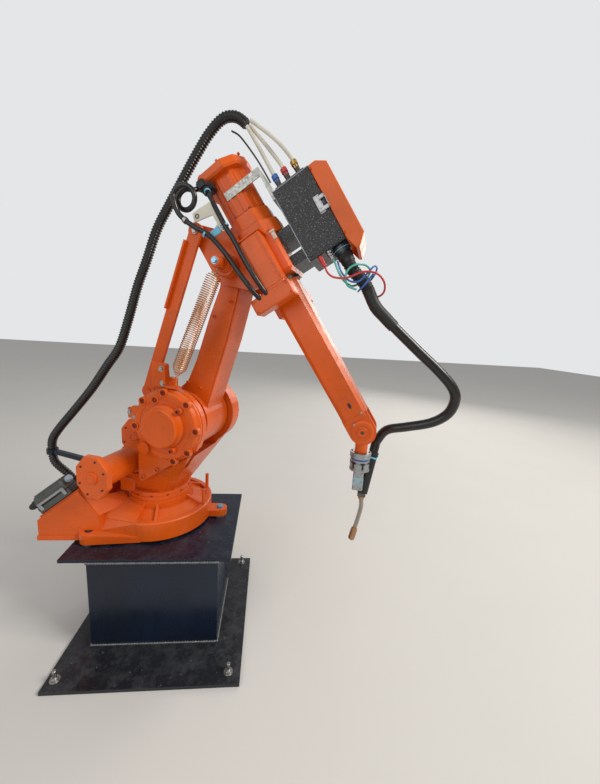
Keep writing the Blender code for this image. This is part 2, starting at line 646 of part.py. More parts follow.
def upper_arm():
    turn = LEVER_ANGLE + FOREARM_DIP
    lever = (LEVER_LENGTH * cos(turn), LEVER_LENGTH * sin(turn))
    head = [(0.110, 0.030), (0.110, 0.075), (-0.075, 0.075)]
    near = hull_across(lobe((0, 0), 0.062) + lobe(lever, EYE_RADIUS) + head, *PLATE_Y)
    far = hull_across(lobe((0, 0), 0.062) + head, -PLATE_Y[1], -PLATE_Y[0])
    housing = block(HOUSING_X, (PLATE_Y[0], -PLATE_Y[0]), HOUSING_Z, 0.010)
    ring = extruded([(RING_X[0], y, z) for y, z in octagon((0, GEAR_AXIS_Z), RING_HALF)],
                    (RING_X[1] - RING_X[0], 0, 0))
    collar = extruded([(COLLAR_X, y, z) for y, z in octagon((0, GEAR_AXIS_Z - 0.002), COLLAR_HALF)],
                      (HOUSING_X[0] - COLLAR_X + 0.01, 0, 0))
    nose = rod_x((0, ELBOW_OFFSET), 0.060, HOUSING_X[1] - 0.01, FOREARM_START - FIT, 40)
    spacer = rod_y(lever, 0.020, PLATE_Y[0] + 0.004, ROD_Y[1] + FIT, 24)
    pin = rod_y(lever, PIVOT_RADIUS, PLATE_Y[0], ROD_Y[0] - 0.003, 24)
    boss = rod_y((0, 0), 0.038, PLATE_Y[0] + 0.004, -0.127, 32)
    bore = rod_y((0, 0), SHAFT_RADIUS + BORE, SHAFT_Y[0], -SHAFT_Y[0], 32)
    solid("upper_arm", ORANGE, UPPER, housing,
          joins=[near, far, soften(ring, 0.004), soften(collar, 0.003), nose, spacer, pin, boss],
          cuts=[bore, rod_y((0, 0), ELBOW_RADIUS + RUN, PLATE_Y[1], -PLATE_Y[1], 40)])


def upper_motors():
    body = [(RING_X[0] - FIT, y, z) for y, z in octagon((0, GEAR_AXIS_Z), REAR_MOTOR_HALF)]
    half = [(0.092, 0.148), (0.068, 0.192), (0.022, 0.214)]
    outline = half + [(-y, z) for y, z in reversed(half)]
    outline += [(-0.090, 0.052), (-0.062, 0.034), (0.062, 0.034), (0.090, 0.052)]
    cap = extruded([(REAR_MOTOR_X, y, z) for y, z in outline], (REAR_CAP_X - REAR_MOTOR_X, 0, 0))
    solid("rear_motor", ORANGE, UPPER, extruded(body, (REAR_MOTOR_X - RING_X[0] - 0.010, 0, 0)),
          joins=[soften(cap, 0.006)])
    for name, side in (("side_motor", -1), ("far_side_motor", 1)):
        seat, out = side * (-PLATE_Y[0] + FIT), side * SIDE_MOTOR_OUT
        cap = block((SIDE_MOTOR_X[1], SIDE_CAP_X), (seat, out + side * 0.002), SIDE_CAP_Z, 0.004)
        solid(name, ORANGE, UPPER,
              block((SIDE_MOTOR_X[0], SIDE_MOTOR_X[1] + 0.01), (seat, out), SIDE_MOTOR_Z, 0.005),
              joins=[cap])


def feeder():
    strap_y = -REAR_MOTOR_HALF - FIT
    strap = block((-0.217, -0.189), (strap_y - 0.004, strap_y), (0.100, 0.2335))
    foot = block((-0.217, -0.100), (strap_y - 0.004, 0.060), (0.2335, FEEDER_Z[0] - FIT))
    solid("feeder_strap", STEEL, UPPER, strap, joins=[foot])
    mounts = [block(x, (-0.055, 0.085), (HOUSING_Z[1] + FIT, FEEDER_Z[0] + 0.005))
              for x in ((-0.015, 0.020), (0.075, 0.110))]
    solid("feeder_box", BLACK, UPPER, block(FEEDER_X, FEEDER_Y, FEEDER_Z, 0.003), joins=mounts)
    low = FEEDER_Z[1] + FIT
    end = FEEDER_X[1] - FIT
    lid = across([(FEEDER_X[0], low), (FEEDER_X[0], LID_TOP - 0.030), (FEEDER_X[0] + 0.022, LID_TOP),
                  (LID_FRONT - 0.035, LID_TOP), (LID_FRONT, LID_TOP - 0.035),
                  (LID_FRONT - 0.006, LID_TOP - 0.044), (end + 0.002, low)], *FEEDER_Y)
    inside = across([(end, low - 0.01), (end, LID_TOP - LID_WALL),
                     (LID_FRONT - 0.037, LID_TOP - LID_WALL), (LID_FRONT - 0.006, LID_TOP - 0.037),
                     (LID_FRONT - 0.006, low - 0.01)],
                    FEEDER_Y[0] + LID_WALL, FEEDER_Y[1] - LID_WALL)
    solid("feeder_lid", ORANGE, UPPER, soften(lid, 0.002), cuts=[inside])
    mouth = (OUTLET[1], OUTLET[2])
    solid("torch_socket", BRASS, UPPER, rod_x(mouth, 0.026, FEEDER_X[1] + FIT, 0.158, 32),
          joins=[rod_x(mouth, 0.0205, 0.155, OUTLET[0], 28)])
    fittings = block((FEEDER_X[0] - 0.006, FEEDER_X[0] - FIT), (-0.062, -0.036), (0.256, 0.364))
    stubs = [rod_x((FITTING_Y, z), 0.009, FITTING_X, FEEDER_X[0] - 0.003, 12) for z in FITTING_Z]
    solid("hose_fittings", BRASS, UPPER, fittings, joins=stubs)


def cable_bracket():
    """The cream plate that holds the motor cables, and its foot on the elbow plate."""
    y = -0.146
    plate = across([(-0.182, -0.004), (-0.182, 0.020), (-0.176, 0.078), (-0.120, 0.078),
                    (-0.082, 0.070), (-0.086, 0.034), (-0.100, 0.034), (-0.108, 0.052),
                    (-0.140, 0.052), (-0.156, -0.012)], y - 0.004, y)
    foot = block((-0.112, -0.090), (y - 0.002, PLATE_Y[0] - FIT), (0.054, 0.058))
    solid("cable_bracket", CREAM, UPPER, plate, joins=[foot])


# forearm, wrist and tool

def forearm():
    def section(x, half, corner):
        return [(x, y, ELBOW_OFFSET + z) for y, z in
                [(sy * a, sz * b) for sy in (-1, 1) for sz in (-1, 1)
                 for a, b in ((half, half - corner), (half - corner, half))]]

    tube = hull(section(FOREARM_START, FOREARM_BACK_HALF, 0.016)
                + section(FORK_START + 0.02, FOREARM_FRONT_HALF, 0.012))
    axis = (FOREARM_LENGTH, ELBOW_OFFSET)
    fork = hull_across(lobe(axis, FOREARM_FRONT_HALF)
                       + [(FORK_START, ELBOW_OFFSET - FOREARM_FRONT_HALF),
                          (FORK_START, ELBOW_OFFSET + FOREARM_FRONT_HALF)], -FORK_OUT, FORK_OUT)
    gap = block((FOREARM_LENGTH - 0.058, FOREARM_LENGTH + 0.10), (-FORK_IN, FORK_IN),
                (ELBOW_OFFSET - 0.09, ELBOW_OFFSET + 0.09))
    pad = across([(0.585, ELBOW_OFFSET - 0.030), (0.585, ELBOW_OFFSET + 0.020),
                  (0.660, ELBOW_OFFSET + 0.034), (0.660, ELBOW_OFFSET - 0.030)],
                 -FORK_OUT - 0.004, -FORK_OUT + 0.010)
    disc = turned([(0, -0.004), (0.041, -0.004), (0.041, 0.004), (0.035, 0.007), (0.020, 0.007),
                   (0.018, 0.010), (0, 0.010)], 32)
    aimed(disc, (0, -1, 0), (FOREARM_LENGTH, -FORK_OUT, ELBOW_OFFSET))
    solid("forearm", ORANGE, UPPER, tube, joins=[fork, pad, disc], cuts=[gap])


def wrist():
    barrel = rod_y((0, 0), WRIST_RADIUS, -FORK_IN + FIT, FORK_IN - FIT, 32)
    neck = rod_z((0, 0), NECK_RADIUS, FLANGE_Z + FIT, 0, 32)
    solid("wrist_housing", ORANGE, HAND, barrel, joins=[neck])
    low = FLANGE_Z - FLANGE_THICKNESS
    solid("tool_flange", GREY, HAND, rod_z((0, 0), FLANGE_RADIUS, low, FLANGE_Z, 40))
    groove = turned([(SENSOR_RADIUS - 0.004, 0), (0.060, 0), (0.060, 0.006),
                     (SENSOR_RADIUS - 0.004, 0.006), (SENSOR_RADIUS - 0.004, 0)], 32)
    bmesh.ops.translate(groove, vec=(0, 0, SENSOR_Z + 0.030), verts=groove.verts)
    solid("collision_sensor", GREY, HAND, rod_z((0, 0), SENSOR_RADIUS, SENSOR_Z, low - FIT, 32),
          cuts=[groove])


def torch():
    """The torch in its holder below the sensor, leaning back to where its cable comes in."""
    way = (Vector(TORCH_HEAD) - Vector(TORCH_FOOT)).normalized()
    length = (Vector(TORCH_HEAD) - Vector(TORCH_FOOT)).length
    bore = rod_z((0, 0), TORCH_RADIUS + FIT, -0.05, length + 0.05, 24)
    solid("torch_holder", STEEL, HAND,
          block((-0.019, 0.019), (-0.022, 0.020), (HOLDER_Z, SENSOR_Z - FIT), 0.003),
          cuts=[aimed(bore, way, TORCH_FOOT)])
    grip = rod_z((0, 0), TORCH_RADIUS, 0.010, length, 24)
    solid("torch_body", RUBBER, HAND, aimed(grip, way, TORCH_FOOT),
          joins=[block((0.004, 0.032), (-0.014, 0.014), (TORCH_FOOT[2], -0.236), 0.003)])
    neck_top = (0.018, 0, TORCH_FOOT[2] - FIT)
    hose(["swan_neck"], STEEL, [neck_top, (0.0180, 0, -0.272), (0.0210, 0, -0.305),
                                (0.0140, 0, -0.355), (0.006, 0, -0.395)],
         0.008, parent=HAND, spacing=0.8)
    nozzle = turned([(0, FIT), (0.010, FIT), (0.0125, 0.012), (0.0125, 0.050), (0.009, 0.055),
                     (0, 0.055)], 24)
    solid("gas_nozzle", BRASS, HAND, aimed(nozzle, (-0.20, 0, -1), (0.006, 0, -0.395)))


# hoses and cables

def arm_place(along, y, normal):
    """A point of the upper arm in the arm's own coordinates."""
    x, z = from_elbow(along, normal)
    return (x, y, z)


GLAND_X = 0.022
GLAND_Y = 0.050
GLAND_TOP = 0.044
CLAMP = (-0.463, -0.100, 0.637)
OUTLET = (0.190, -0.020, 0.350)
FITTING_X = -0.160
FITTING_Y = -0.049
FITTING_Z = (0.273, 0.308, 0.346)


def gland_mouth():
    """The conduit's first points, out of the gland, in the arm's coordinates."""
    places = []
    for rise in (GLAND_TOP + FIT, GLAND_TOP + 0.030):
        x, z = on_slope(GLAND_X, rise)
        places.append((x * cos(ARM_TURN) + GLAND_Y * sin(ARM_TURN),
                       GLAND_Y * cos(ARM_TURN) - x * sin(ARM_TURN), z))
    return places


def conduit():
    route = gland_mouth() + [
        (-0.455, -0.098, 0.585), CLAMP, (-0.455, -0.102, 0.690), (-0.416, -0.100, 0.745),
        (-0.330, -0.100, 0.835), (-0.237, -0.100, 0.935), (-0.159, -0.100, 1.033),
        (-0.098, -0.100, 1.110), (-0.052, -0.100, 1.219), (-0.011, -0.098, 1.336),
        (0.026, -0.090, 1.433), (0.062, -0.080, 1.536), (0.104, -0.070, 1.616),
        (0.152, -0.060, 1.700), (0.198, -0.050, 1.780), (0.244, -0.043, 1.848),
        (0.292, -0.040, 1.890), (0.338, -0.040, 1.892), (0.376, -0.040, 1.868)]
    hose(["conduit_base", "conduit_lower", "conduit_upper"], RUBBER, route, CONDUIT_RADIUS, (3, 10))


def feed_hoses():
    starts = ((0.3815, -0.048, 1.8575), (0.3865, -0.032, 1.8665), (0.3925, -0.048, 1.8745))
    middles = ((0.430, -0.048, 1.786), (0.444, -0.036, 1.806), (0.478, -0.047, 1.816))
    for index, (start, middle) in enumerate(zip(starts, middles)):
        mouth = arm_place(FITTING_X - FIT, FITTING_Y, FITTING_Z[index])
        straight = arm_place(FITTING_X - 0.030, FITTING_Y, FITTING_Z[index])
        hose([f"feed_hose_{index + 1}"], WHITE, [start, middle, straight, mouth], HOSE_RADIUS,
             spacing=3)


def torch_cable():
    way = (Vector(TORCH_HEAD) - Vector(TORCH_FOOT)).normalized()
    wrist = Vector((WRIST[0], 0, WRIST[1]))
    head = wrist + Vector(TORCH_HEAD) + way * FIT
    route = [arm_place(OUTLET[0] + FIT, OUTLET[1], OUTLET[2]),
             arm_place(OUTLET[0] + 0.030, OUTLET[1], OUTLET[2]), (0.807, -0.018, 1.377),
             (0.844, -0.016, 1.312), (0.881, -0.014, 1.275), (0.913, -0.012, 1.246),
             (1.004, -0.004, 1.168), (1.070, -0.002, 1.113), (1.123, 0.004, 1.060),
             (1.141, 0.012, 1.017), (1.129, 0.025, 0.963), (1.081, 0.036, 0.921),
             (0.999, 0.055, 0.889), (0.932, 0.072, 0.863), (0.901, 0.080, 0.815),
             head + way * 0.035, head]
    hose(["torch_cable_upper", "torch_cable_middle", "torch_cable_lower"], RUBBER, route,
         CABLE_RADIUS, (6, 11))


pedestal()
robot_base()
connectors()
turret()
shoulder()
spring_bracket()
balance_spring()
hose_bracket()
lower_arm()
crank()
parallel_rod()
upper_arm()
upper_motors()
feeder()
cable_bracket()
forearm()
wrist()
torch()
conduit()
feed_hoses()
torch_cable()
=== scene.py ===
"""The looks of the robot arm: materials, cords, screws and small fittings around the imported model.

Everything is in metres in the model's own frame. Pieces are modelled in the coordinates of the
link that carries them (BASE, PANEL, ARM, LOWER, UPPER, SPOUT or HAND), then placed and set
riding on its body.
"""

from functools import partial
from math import atan2, cos, hypot, pi, radians, sin

import bmesh
import bpy
from mathutils import Matrix, Vector


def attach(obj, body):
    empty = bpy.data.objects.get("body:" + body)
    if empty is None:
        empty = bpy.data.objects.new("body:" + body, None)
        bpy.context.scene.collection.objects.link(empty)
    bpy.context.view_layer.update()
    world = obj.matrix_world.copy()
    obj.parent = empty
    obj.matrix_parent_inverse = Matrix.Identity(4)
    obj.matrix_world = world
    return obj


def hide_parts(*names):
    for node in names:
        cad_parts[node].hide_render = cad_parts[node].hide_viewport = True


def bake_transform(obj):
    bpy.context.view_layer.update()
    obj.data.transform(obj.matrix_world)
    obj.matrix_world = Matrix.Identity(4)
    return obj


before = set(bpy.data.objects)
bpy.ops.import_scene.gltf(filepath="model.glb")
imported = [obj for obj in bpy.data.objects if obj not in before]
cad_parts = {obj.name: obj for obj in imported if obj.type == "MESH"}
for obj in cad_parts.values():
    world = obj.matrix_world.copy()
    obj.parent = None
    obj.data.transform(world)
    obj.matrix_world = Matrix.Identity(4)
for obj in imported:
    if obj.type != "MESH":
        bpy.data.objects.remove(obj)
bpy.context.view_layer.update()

# the part's driving sizes, as in its source
FIT = 0.0003
ARM_TURN = radians(-18.5)
AXIS2 = (0.150, 0.847)
LOWER_TILT = radians(19.3)
LOWER_LENGTH = 0.600
FOREARM_DIP = radians(56.6)
ELBOW_OFFSET = 0.120
FOREARM_LENGTH = 0.720
BOX_REAR, SLOPE_LOW, SLOPE_TOP = -0.385, 0.462, (-0.235, 0.580)
GLAND_X, GLAND_Y, GLAND_TOP = 0.022, 0.050, 0.044
CLAMP = (-0.463, -0.100, 0.637)
OUTLET = (0.190, -0.020, 0.350)
FITTING_X, FITTING_Y = -0.160, -0.049
FITTING_Z = (0.273, 0.308, 0.346)
TORCH_HEAD, TORCH_FOOT = (0.046, 0.064, -0.110), (0.019, 0.002, -0.262)
CONDUIT_RADIUS = 0.0165
REAR_FOOT, FOOT_TOP = (-0.205, 0.196), 0.418
FRONT_FOOT_X, FRONT_FOOT_TOP = 0.256, 0.406
PANEL_THICKNESS, PLATE_TOP = 0.006, 0.012
TUBE_SIZE, TUBE_CENTRE = (0.460, 0.320), (0.063, -0.1415)
COVER_FACE, FAR_FACE, SKIRT_FACE, BRACKET_FACE = -0.1803, 0.1503, -0.1643, -0.1583
SIDE_MOTOR_END, MIDDLE_MOTOR_END = 0.306, -0.056
LOWER_FACE, LEVER_FACE, FORK_FACE = -0.067, -0.1215, -0.0500
REAR_MOTOR_END, GEAR_FACE, UPPER_MOTOR_END = -0.306, -0.1250, 0.152
SIDE_MOTOR, MIDDLE_MOTOR = (-0.050, 0.669), (-0.081, 0.734)
SPRING_Y, SHAFT_END = -0.165, -0.196
LEVER = (0.156 * cos(radians(136)), 0.156 * sin(radians(136)))
GEAR_AXIS_Z = 0.126
FEEDER_X = (-0.125, 0.130)
HOSE_RADIUS = 0.0065
CABLE_RADIUS = 0.0175
ELBOW = (AXIS2[0] + LOWER_LENGTH * sin(LOWER_TILT), AXIS2[1] + LOWER_LENGTH * cos(LOWER_TILT))


def from_elbow(along, y, normal):
    """A place in the arm's coordinates, measured along, across and off the forearm."""
    return (ELBOW[0] + along * cos(FOREARM_DIP) + normal * sin(FOREARM_DIP), y,
            ELBOW[1] - along * sin(FOREARM_DIP) + normal * cos(FOREARM_DIP))


WRIST = from_elbow(FOREARM_LENGTH, 0, ELBOW_OFFSET)
SLOPE_TILT = atan2(SLOPE_TOP[1] - SLOPE_LOW, SLOPE_TOP[0] - BOX_REAR)
SLOPE_LENGTH = hypot(SLOPE_TOP[0] - BOX_REAR, SLOPE_TOP[1] - SLOPE_LOW)

BASE = Matrix.Identity(4)
ARM = Matrix.Rotation(ARM_TURN, 4, "Z")
LOWER = ARM @ Matrix.Translation((AXIS2[0], 0, AXIS2[1])) @ Matrix.Rotation(LOWER_TILT, 4, "Y")
UPPER = ARM @ Matrix.Translation((ELBOW[0], 0, ELBOW[1])) @ Matrix.Rotation(FOREARM_DIP, 4, "Y")
HAND = ARM @ Matrix.Translation(WRIST)
SPOUT = UPPER @ Matrix.Translation((0, *OUTLET[1:])) @ Matrix.Rotation(pi / 2, 4, "Y")
PANEL = Matrix.Translation((BOX_REAR, 0, SLOPE_LOW)) @ Matrix.Rotation(-SLOPE_TILT, 4, "Y")


# camera and lights

CAMERA_PLACE = (0.4485, -1.3879, 1.2165)
CAMERA_YAW_PITCH_ROLL = (0.1011, 0.1866, 0.0612)
FOCAL_PIXELS, IMAGE_WIDTH, SENSOR_WIDTH = 326.84, 600, 36
LAMP_TARGET = (0.2, 0, 0.9)


def make_camera():
    yaw, pitch, roll = CAMERA_YAW_PITCH_ROLL
    ahead = Vector((sin(yaw) * cos(pitch), cos(yaw) * cos(pitch), -sin(pitch)))
    right = Vector((cos(yaw), -sin(yaw), 0))
    up = right.cross(ahead)
    side = right * cos(roll) + up * sin(roll)
    top = up * cos(roll) - right * sin(roll)
    data = bpy.data.cameras.new("camera")
    data.sensor_fit = "HORIZONTAL"
    data.sensor_width = SENSOR_WIDTH
    data.lens = SENSOR_WIDTH * FOCAL_PIXELS / IMAGE_WIDTH
    camera = bpy.data.objects.new("camera", data)
    bpy.context.collection.objects.link(camera)
    turn = Matrix((side, top, -ahead)).transposed().to_4x4()
    camera.matrix_world = Matrix.Translation(CAMERA_PLACE) @ turn
    bpy.context.scene.camera = camera


def area_light(name, place, size, power, colour):
    data = bpy.data.lights.new(name, "AREA")
    data.size = size
    data.energy = power
    data.color = colour
    lamp = bpy.data.objects.new(name, data)
    bpy.context.collection.objects.link(lamp)
    turn = (Vector(LAMP_TARGET) - Vector(place)).to_track_quat("-Z", "Y").to_matrix().to_4x4()
    lamp.matrix_world = Matrix.Translation(place) @ turn


# materials

class Shader:
    """A Principled material and short calls that add and join its nodes."""

    def __init__(self, name):
        self.material = bpy.data.materials.new(name)
        self.material.use_nodes = True
        self.tree = self.material.node_tree
        self.surface = self.tree.nodes["Principled BSDF"]
        self.place = self.run("ShaderNodeTexCoord")["Object"]

    def feed(self, socket, value):
        if isinstance(value, bpy.types.NodeSocket):
            self.tree.links.new(value, socket)
        else:
            colour = isinstance(value, tuple) and len(value) == 3 and socket.type == "RGBA"
            socket.default_value = (*value, 1.0) if colour else value

    def run(self, kind, inputs=None, **settings):
        """The outputs of a new node with these inputs and settings."""
        node = self.tree.nodes.new(kind)
        for key, value in settings.items():
            setattr(node, key, value)
        for key, value in (inputs or {}).items():
            self.feed(node.inputs[key], value)
        return node.outputs

    def noise(self, scale, detail=4.0, rough=0.55, place=None):
        return self.run("ShaderNodeTexNoise", {"Vector": place or self.place, "Scale": scale,
                                               "Detail": detail, "Roughness": rough})["Fac"]

    def stretched(self, size):
        return self.run("ShaderNodeMapping", {"Vector": self.place, "Scale": size})["Vector"]

    def steps(self, value, low, high, start=0.0, end=1.0):
        return self.run("ShaderNodeMapRange", {"Value": value, "From Min": low, "From Max": high,
                                               "To Min": start, "To Max": end})["Result"]

    def times(self, a, b):
        return self.run("ShaderNodeMath", {0: a, 1: b}, operation="MULTIPLY")[0]

    def plus(self, a, b):
        return self.run("ShaderNodeMath", {0: a, 1: b}, operation="ADD")[0]

    def mix(self, share, a, b):
        return self.run("ShaderNodeMix", {"Factor": share, "A": a, "B": b},
                        data_type="RGBA")["Result"]

    def upward(self):
        normal = self.run("ShaderNodeNewGeometry")["Normal"]
        return self.run("ShaderNodeSeparateXYZ", {0: normal})["Z"]

    def bump(self, height, depth, strength, below):
        return self.run("ShaderNodeBump", {"Height": height, "Distance": depth,
                                           "Strength": strength, "Normal": below})["Normal"]

    def rounded(self, radius):
        return self.run("ShaderNodeBevel", {"Radius": radius}, samples=4)["Normal"]

    def finish(self, **inputs):
        for key, value in inputs.items():
            socket = key.replace("_", " ").title().replace("Ior", "IOR")
            self.feed(self.surface.inputs[socket], value)
        return self.material


def enamel(name, colour, dusty, rough=0.30):
    """Sprayed machine enamel: faint mottling and orange peel, dust on top, grime and chips."""
    s = Shader(name)
    dark = tuple(c * 0.80 for c in colour)
    tint = s.mix(s.steps(s.noise(5.0, 3), 0.35, 0.65), colour, dark)
    grime = s.steps(s.noise(26.0, 6, 0.65), 0.60, 0.74, 0.0, 0.30)
    tint = s.mix(grime, tint, (0.10, 0.045, 0.02))
    flat = s.steps(s.upward(), 0.25, 0.95)
    dust = s.times(s.steps(s.noise(14.0, 6, 0.7), 0.30, 0.72), flat)
    dust = s.times(dust, dusty)
    tint = s.mix(dust, tint, (0.50, 0.30, 0.16))
    chips = s.steps(s.noise(95.0, 5, 0.6), 0.735, 0.75)
    tint = s.mix(chips, tint, (0.16, 0.06, 0.03))
    shine = s.steps(s.noise(30.0, 4, 0.6), 0.3, 0.7, rough - 0.07, rough + 0.10)
    shine = s.plus(shine, s.times(dust, 0.5))
    peel = s.bump(s.noise(420.0, 2), 0.00012, 0.5, s.rounded(0.0012))
    return s.finish(base_color=tint, roughness=shine, normal=peel, specular_ior_level=0.35,
                    coat_weight=0.10, coat_roughness=0.12)


def black_enamel(name, dusty=0.5, dark=(0.004, 0.008, 0.018), light=(0.006, 0.014, 0.034),
                 dust_and_reflection_colour=(0.07, 0.09, 0.12)):
    """Glossy blue-black paint on plate, scuffed, with pale dust on what faces up; the blue in the
    paint and in the default dust is partly a painted reflection of a blue sky.
    """
    s = Shader(name)
    # blue-black tone: partly the paint's own colour, partly a painted reflection of a blue sky
    tint = s.mix(s.steps(s.noise(3.0, 4), 0.35, 0.7), dark, light)
    flat = s.steps(s.upward(), 0.5, 0.95)
    dust = s.steps(s.noise(16.0, 10, 0.78), 0.46, 0.80)
    dust = s.times(s.times(dust, flat), dusty)
    # dust on what faces up, bluish by default: partly real dust, partly a painted sky reflection on
    # the tops
    tint = s.mix(dust, tint, dust_and_reflection_colour)
    specks = s.steps(s.noise(110.0, 5, 0.65), 0.66, 0.71, 0.0, 0.65)
    tint = s.mix(s.times(specks, flat), tint, (0.34, 0.36, 0.38))
    streaks = s.noise(20.0, 6, 0.7, s.stretched((1.0, 1.0, 0.12)))
    shine = s.steps(streaks, 0.3, 0.7, 0.16, 0.34)
    shine = s.plus(shine, s.times(dust, 0.6))
    ripple = s.bump(s.noise(60.0, 3), 0.0003, 0.35, s.rounded(0.001))
    return s.finish(base_color=tint, roughness=shine, normal=ripple, specular_ior_level=0.4)


def wrinkle_black(name):
    """Black wrinkle-finish paint, its glitter painted into the colour as pale glints all over."""
    s = Shader(name)
    tint = s.mix(s.noise(60.0, 3), (0.006, 0.006, 0.008), (0.016, 0.016, 0.020))
    # painted glints: pale specks of colour standing for the paint's sparkle highlights
    glints = s.steps(s.noise(230.0, 4, 0.75), 0.585, 0.66, 0.0, 0.75)
    tint = s.mix(glints, tint, (0.42, 0.43, 0.50))
    skin = s.bump(s.noise(190.0, 3, 0.6), 0.0014, 1.0, s.rounded(0.0015))
    return s.finish(base_color=tint, roughness=0.24, normal=skin, specular_ior_level=0.4)


def metal(name, colour, rough, dull_share=0.4, depth=0.00006):
    """Bare or plated metal with a fine grain and dull patches."""
    s = Shader(name)
    patch = s.steps(s.noise(34.0, 5, 0.6), 0.35, 0.7)
    dull = tuple(c * 0.62 for c in colour)
    tint = s.mix(s.times(patch, dull_share), colour, dull)
    fine = s.noise(260.0, 4, 0.6)
    shine = s.steps(fine, 0.3, 0.7, rough - 0.08, rough + 0.14)
    return s.finish(base_color=tint, roughness=shine, metallic=1.0,
                    normal=s.bump(fine, depth, 0.6, s.rounded(0.0004)))


def galvanised(name):
    """Hot-dip zinc with its spangle."""
    s = Shader(name)
    cells = s.run("ShaderNodeTexVoronoi", {"Vector": s.place, "Scale": 150.0})["Color"]
    spangle = s.run("ShaderNodeSeparateXYZ", {0: cells})
    tint = s.mix(spangle[0], (0.34, 0.34, 0.32), (0.56, 0.56, 0.53))
    shine = s.steps(spangle[1], 0, 1, 0.34, 0.58)
    return s.finish(base_color=tint, roughness=shine, metallic=0.9, normal=s.rounded(0.0006))


def plastic(name, colour, rough, dusty, coat=0.0):
    """Moulded plastic or rubber with a fine surface and a little dust on top."""
    s = Shader(name)
    dark = tuple(c * 0.78 for c in colour)
    tint = s.mix(s.steps(s.noise(18.0, 4), 0.35, 0.7), colour, dark)
    flat = s.steps(s.upward(), 0.2, 0.95)
    dust = s.times(s.steps(s.noise(40.0, 5, 0.65), 0.4, 0.75), flat)
    tint = s.mix(s.times(dust, dusty), tint, (0.42, 0.38, 0.33))
    shine = s.steps(s.noise(70.0, 4), 0.3, 0.7, rough - 0.06, rough + 0.08)
    return s.finish(base_color=tint, roughness=shine, coat_weight=coat,
                    normal=s.bump(s.noise(300.0, 2), 0.00005, 0.6, s.rounded(0.0005)))


ORANGE = enamel("orange_enamel", (0.76, 0.110, 0.005), dusty=0.22)
ORANGE_LID = enamel("lid_enamel", (0.78, 0.125, 0.006), dusty=0.08, rough=0.34)
# a darker copy of the orange paint: painted shade for screw heads in counterbores and other shaded
# spots
SHADED_ORANGE = enamel("recessed_orange", (0.26, 0.024, 0.006), dusty=0.05, rough=0.42)
# the pedestal's blue-black paint and bluish dust are partly a painted reflection of a blue sky
BLACK = black_enamel("pedestal_enamel")
FLOOR_BLACK = black_enamel("floor_plate_enamel", 0.6, (0.011, 0.012, 0.016),
                           (0.019, 0.021, 0.026), (0.10, 0.105, 0.11))
# the bracket's blue-black paint and bluish dust are partly a painted reflection of a blue sky
BRACKET_BLACK = black_enamel("bracket_enamel", dusty=0.25)
WRINKLE = wrinkle_black("feeder_wrinkle_paint")
ZINC = metal("zinc_plate", (0.50, 0.50, 0.49), 0.32)
DARK_STEEL = metal("black_oxide_screws", (0.10, 0.095, 0.09), 0.38, dull_share=0.3)
# steel whose orange tint is a painted reflection of the orange arm around it
SPRING_STEEL_PAINTED_REFLECTION = metal("spring_steel", (0.74, 0.40, 0.22), 0.30, dull_share=0.35)
GREY_CAST = metal("grey_casting", (0.15, 0.155, 0.15), 0.42, dull_share=0.5, depth=0.0002)
BRASS = metal("brass", (0.52, 0.34, 0.10), 0.30, dull_share=0.35)
COPPER = metal("copper_tube", (0.52, 0.29, 0.16), 0.30, dull_share=0.6)
GALVANISED = galvanised("galvanised_strap")
CREAM = enamel("cream_enamel", (0.80, 0.77, 0.64), dusty=0.05, rough=0.40)
RUBBER = plastic("black_hose_jacket", (0.006, 0.006, 0.007), 0.28, 0.06, coat=0.15)
MATT_RUBBER = plastic("black_rubber", (0.010, 0.010, 0.011), 0.50, 0.08)
WHITE_HOSE = plastic("white_hose_jacket", (0.74, 0.71, 0.62), 0.36, 0.25, coat=0.2)
BLUE_TIE = plastic("blue_ties", (0.16, 0.56, 0.78), 0.35, 0.05)
BLUE = plastic("blue_plastic", (0.03, 0.10, 0.35), 0.35, 0.08)
RED = plastic("red_plastic", (0.60, 0.03, 0.03), 0.32, 0.08, coat=0.3)
MINT = plastic("green_hose_jacket", (0.10, 0.52, 0.42), 0.34, 0.05, coat=0.2)
WELD = metal("weld_bead", (0.20, 0.205, 0.215), 0.42, dull_share=0.3, depth=0.0004)
# chrome made dark grey with heavy dull patches: partly a painted reflection of dark surroundings
CHROME = metal("chrome_trim", (0.36, 0.37, 0.38), 0.26, dull_share=0.8, depth=0.0004)
TRIM = metal("dull_trim", (0.24, 0.27, 0.30), 0.42, dull_share=0.5)
NECK_STEEL = metal("neck_steel", (0.40, 0.36, 0.33), 0.28, dull_share=0.5)
TEAL = plastic("dark_teal_collar", (0.006, 0.045, 0.075), 0.28, 0.05, coat=0.3)
BLUE_ZINC = metal("blue_zinc", (0.30, 0.52, 0.66), 0.28, dull_share=0.3)
# pale blue: the hood cap's own colour; on the torch holder's plate, a painted reflection of the
# arc's light
PALE_BLUE = plastic("pale_blue_cap", (0.34, 0.46, 0.52), 0.40, 0.1)
BLUE_SHINY = plastic("blue_hose_jacket", (0.02, 0.14, 0.50), 0.30, 0.05, coat=0.3)
PALE_METAL = metal("pale_casting", (0.42, 0.44, 0.45), 0.38, dull_share=0.35, depth=0.0001)

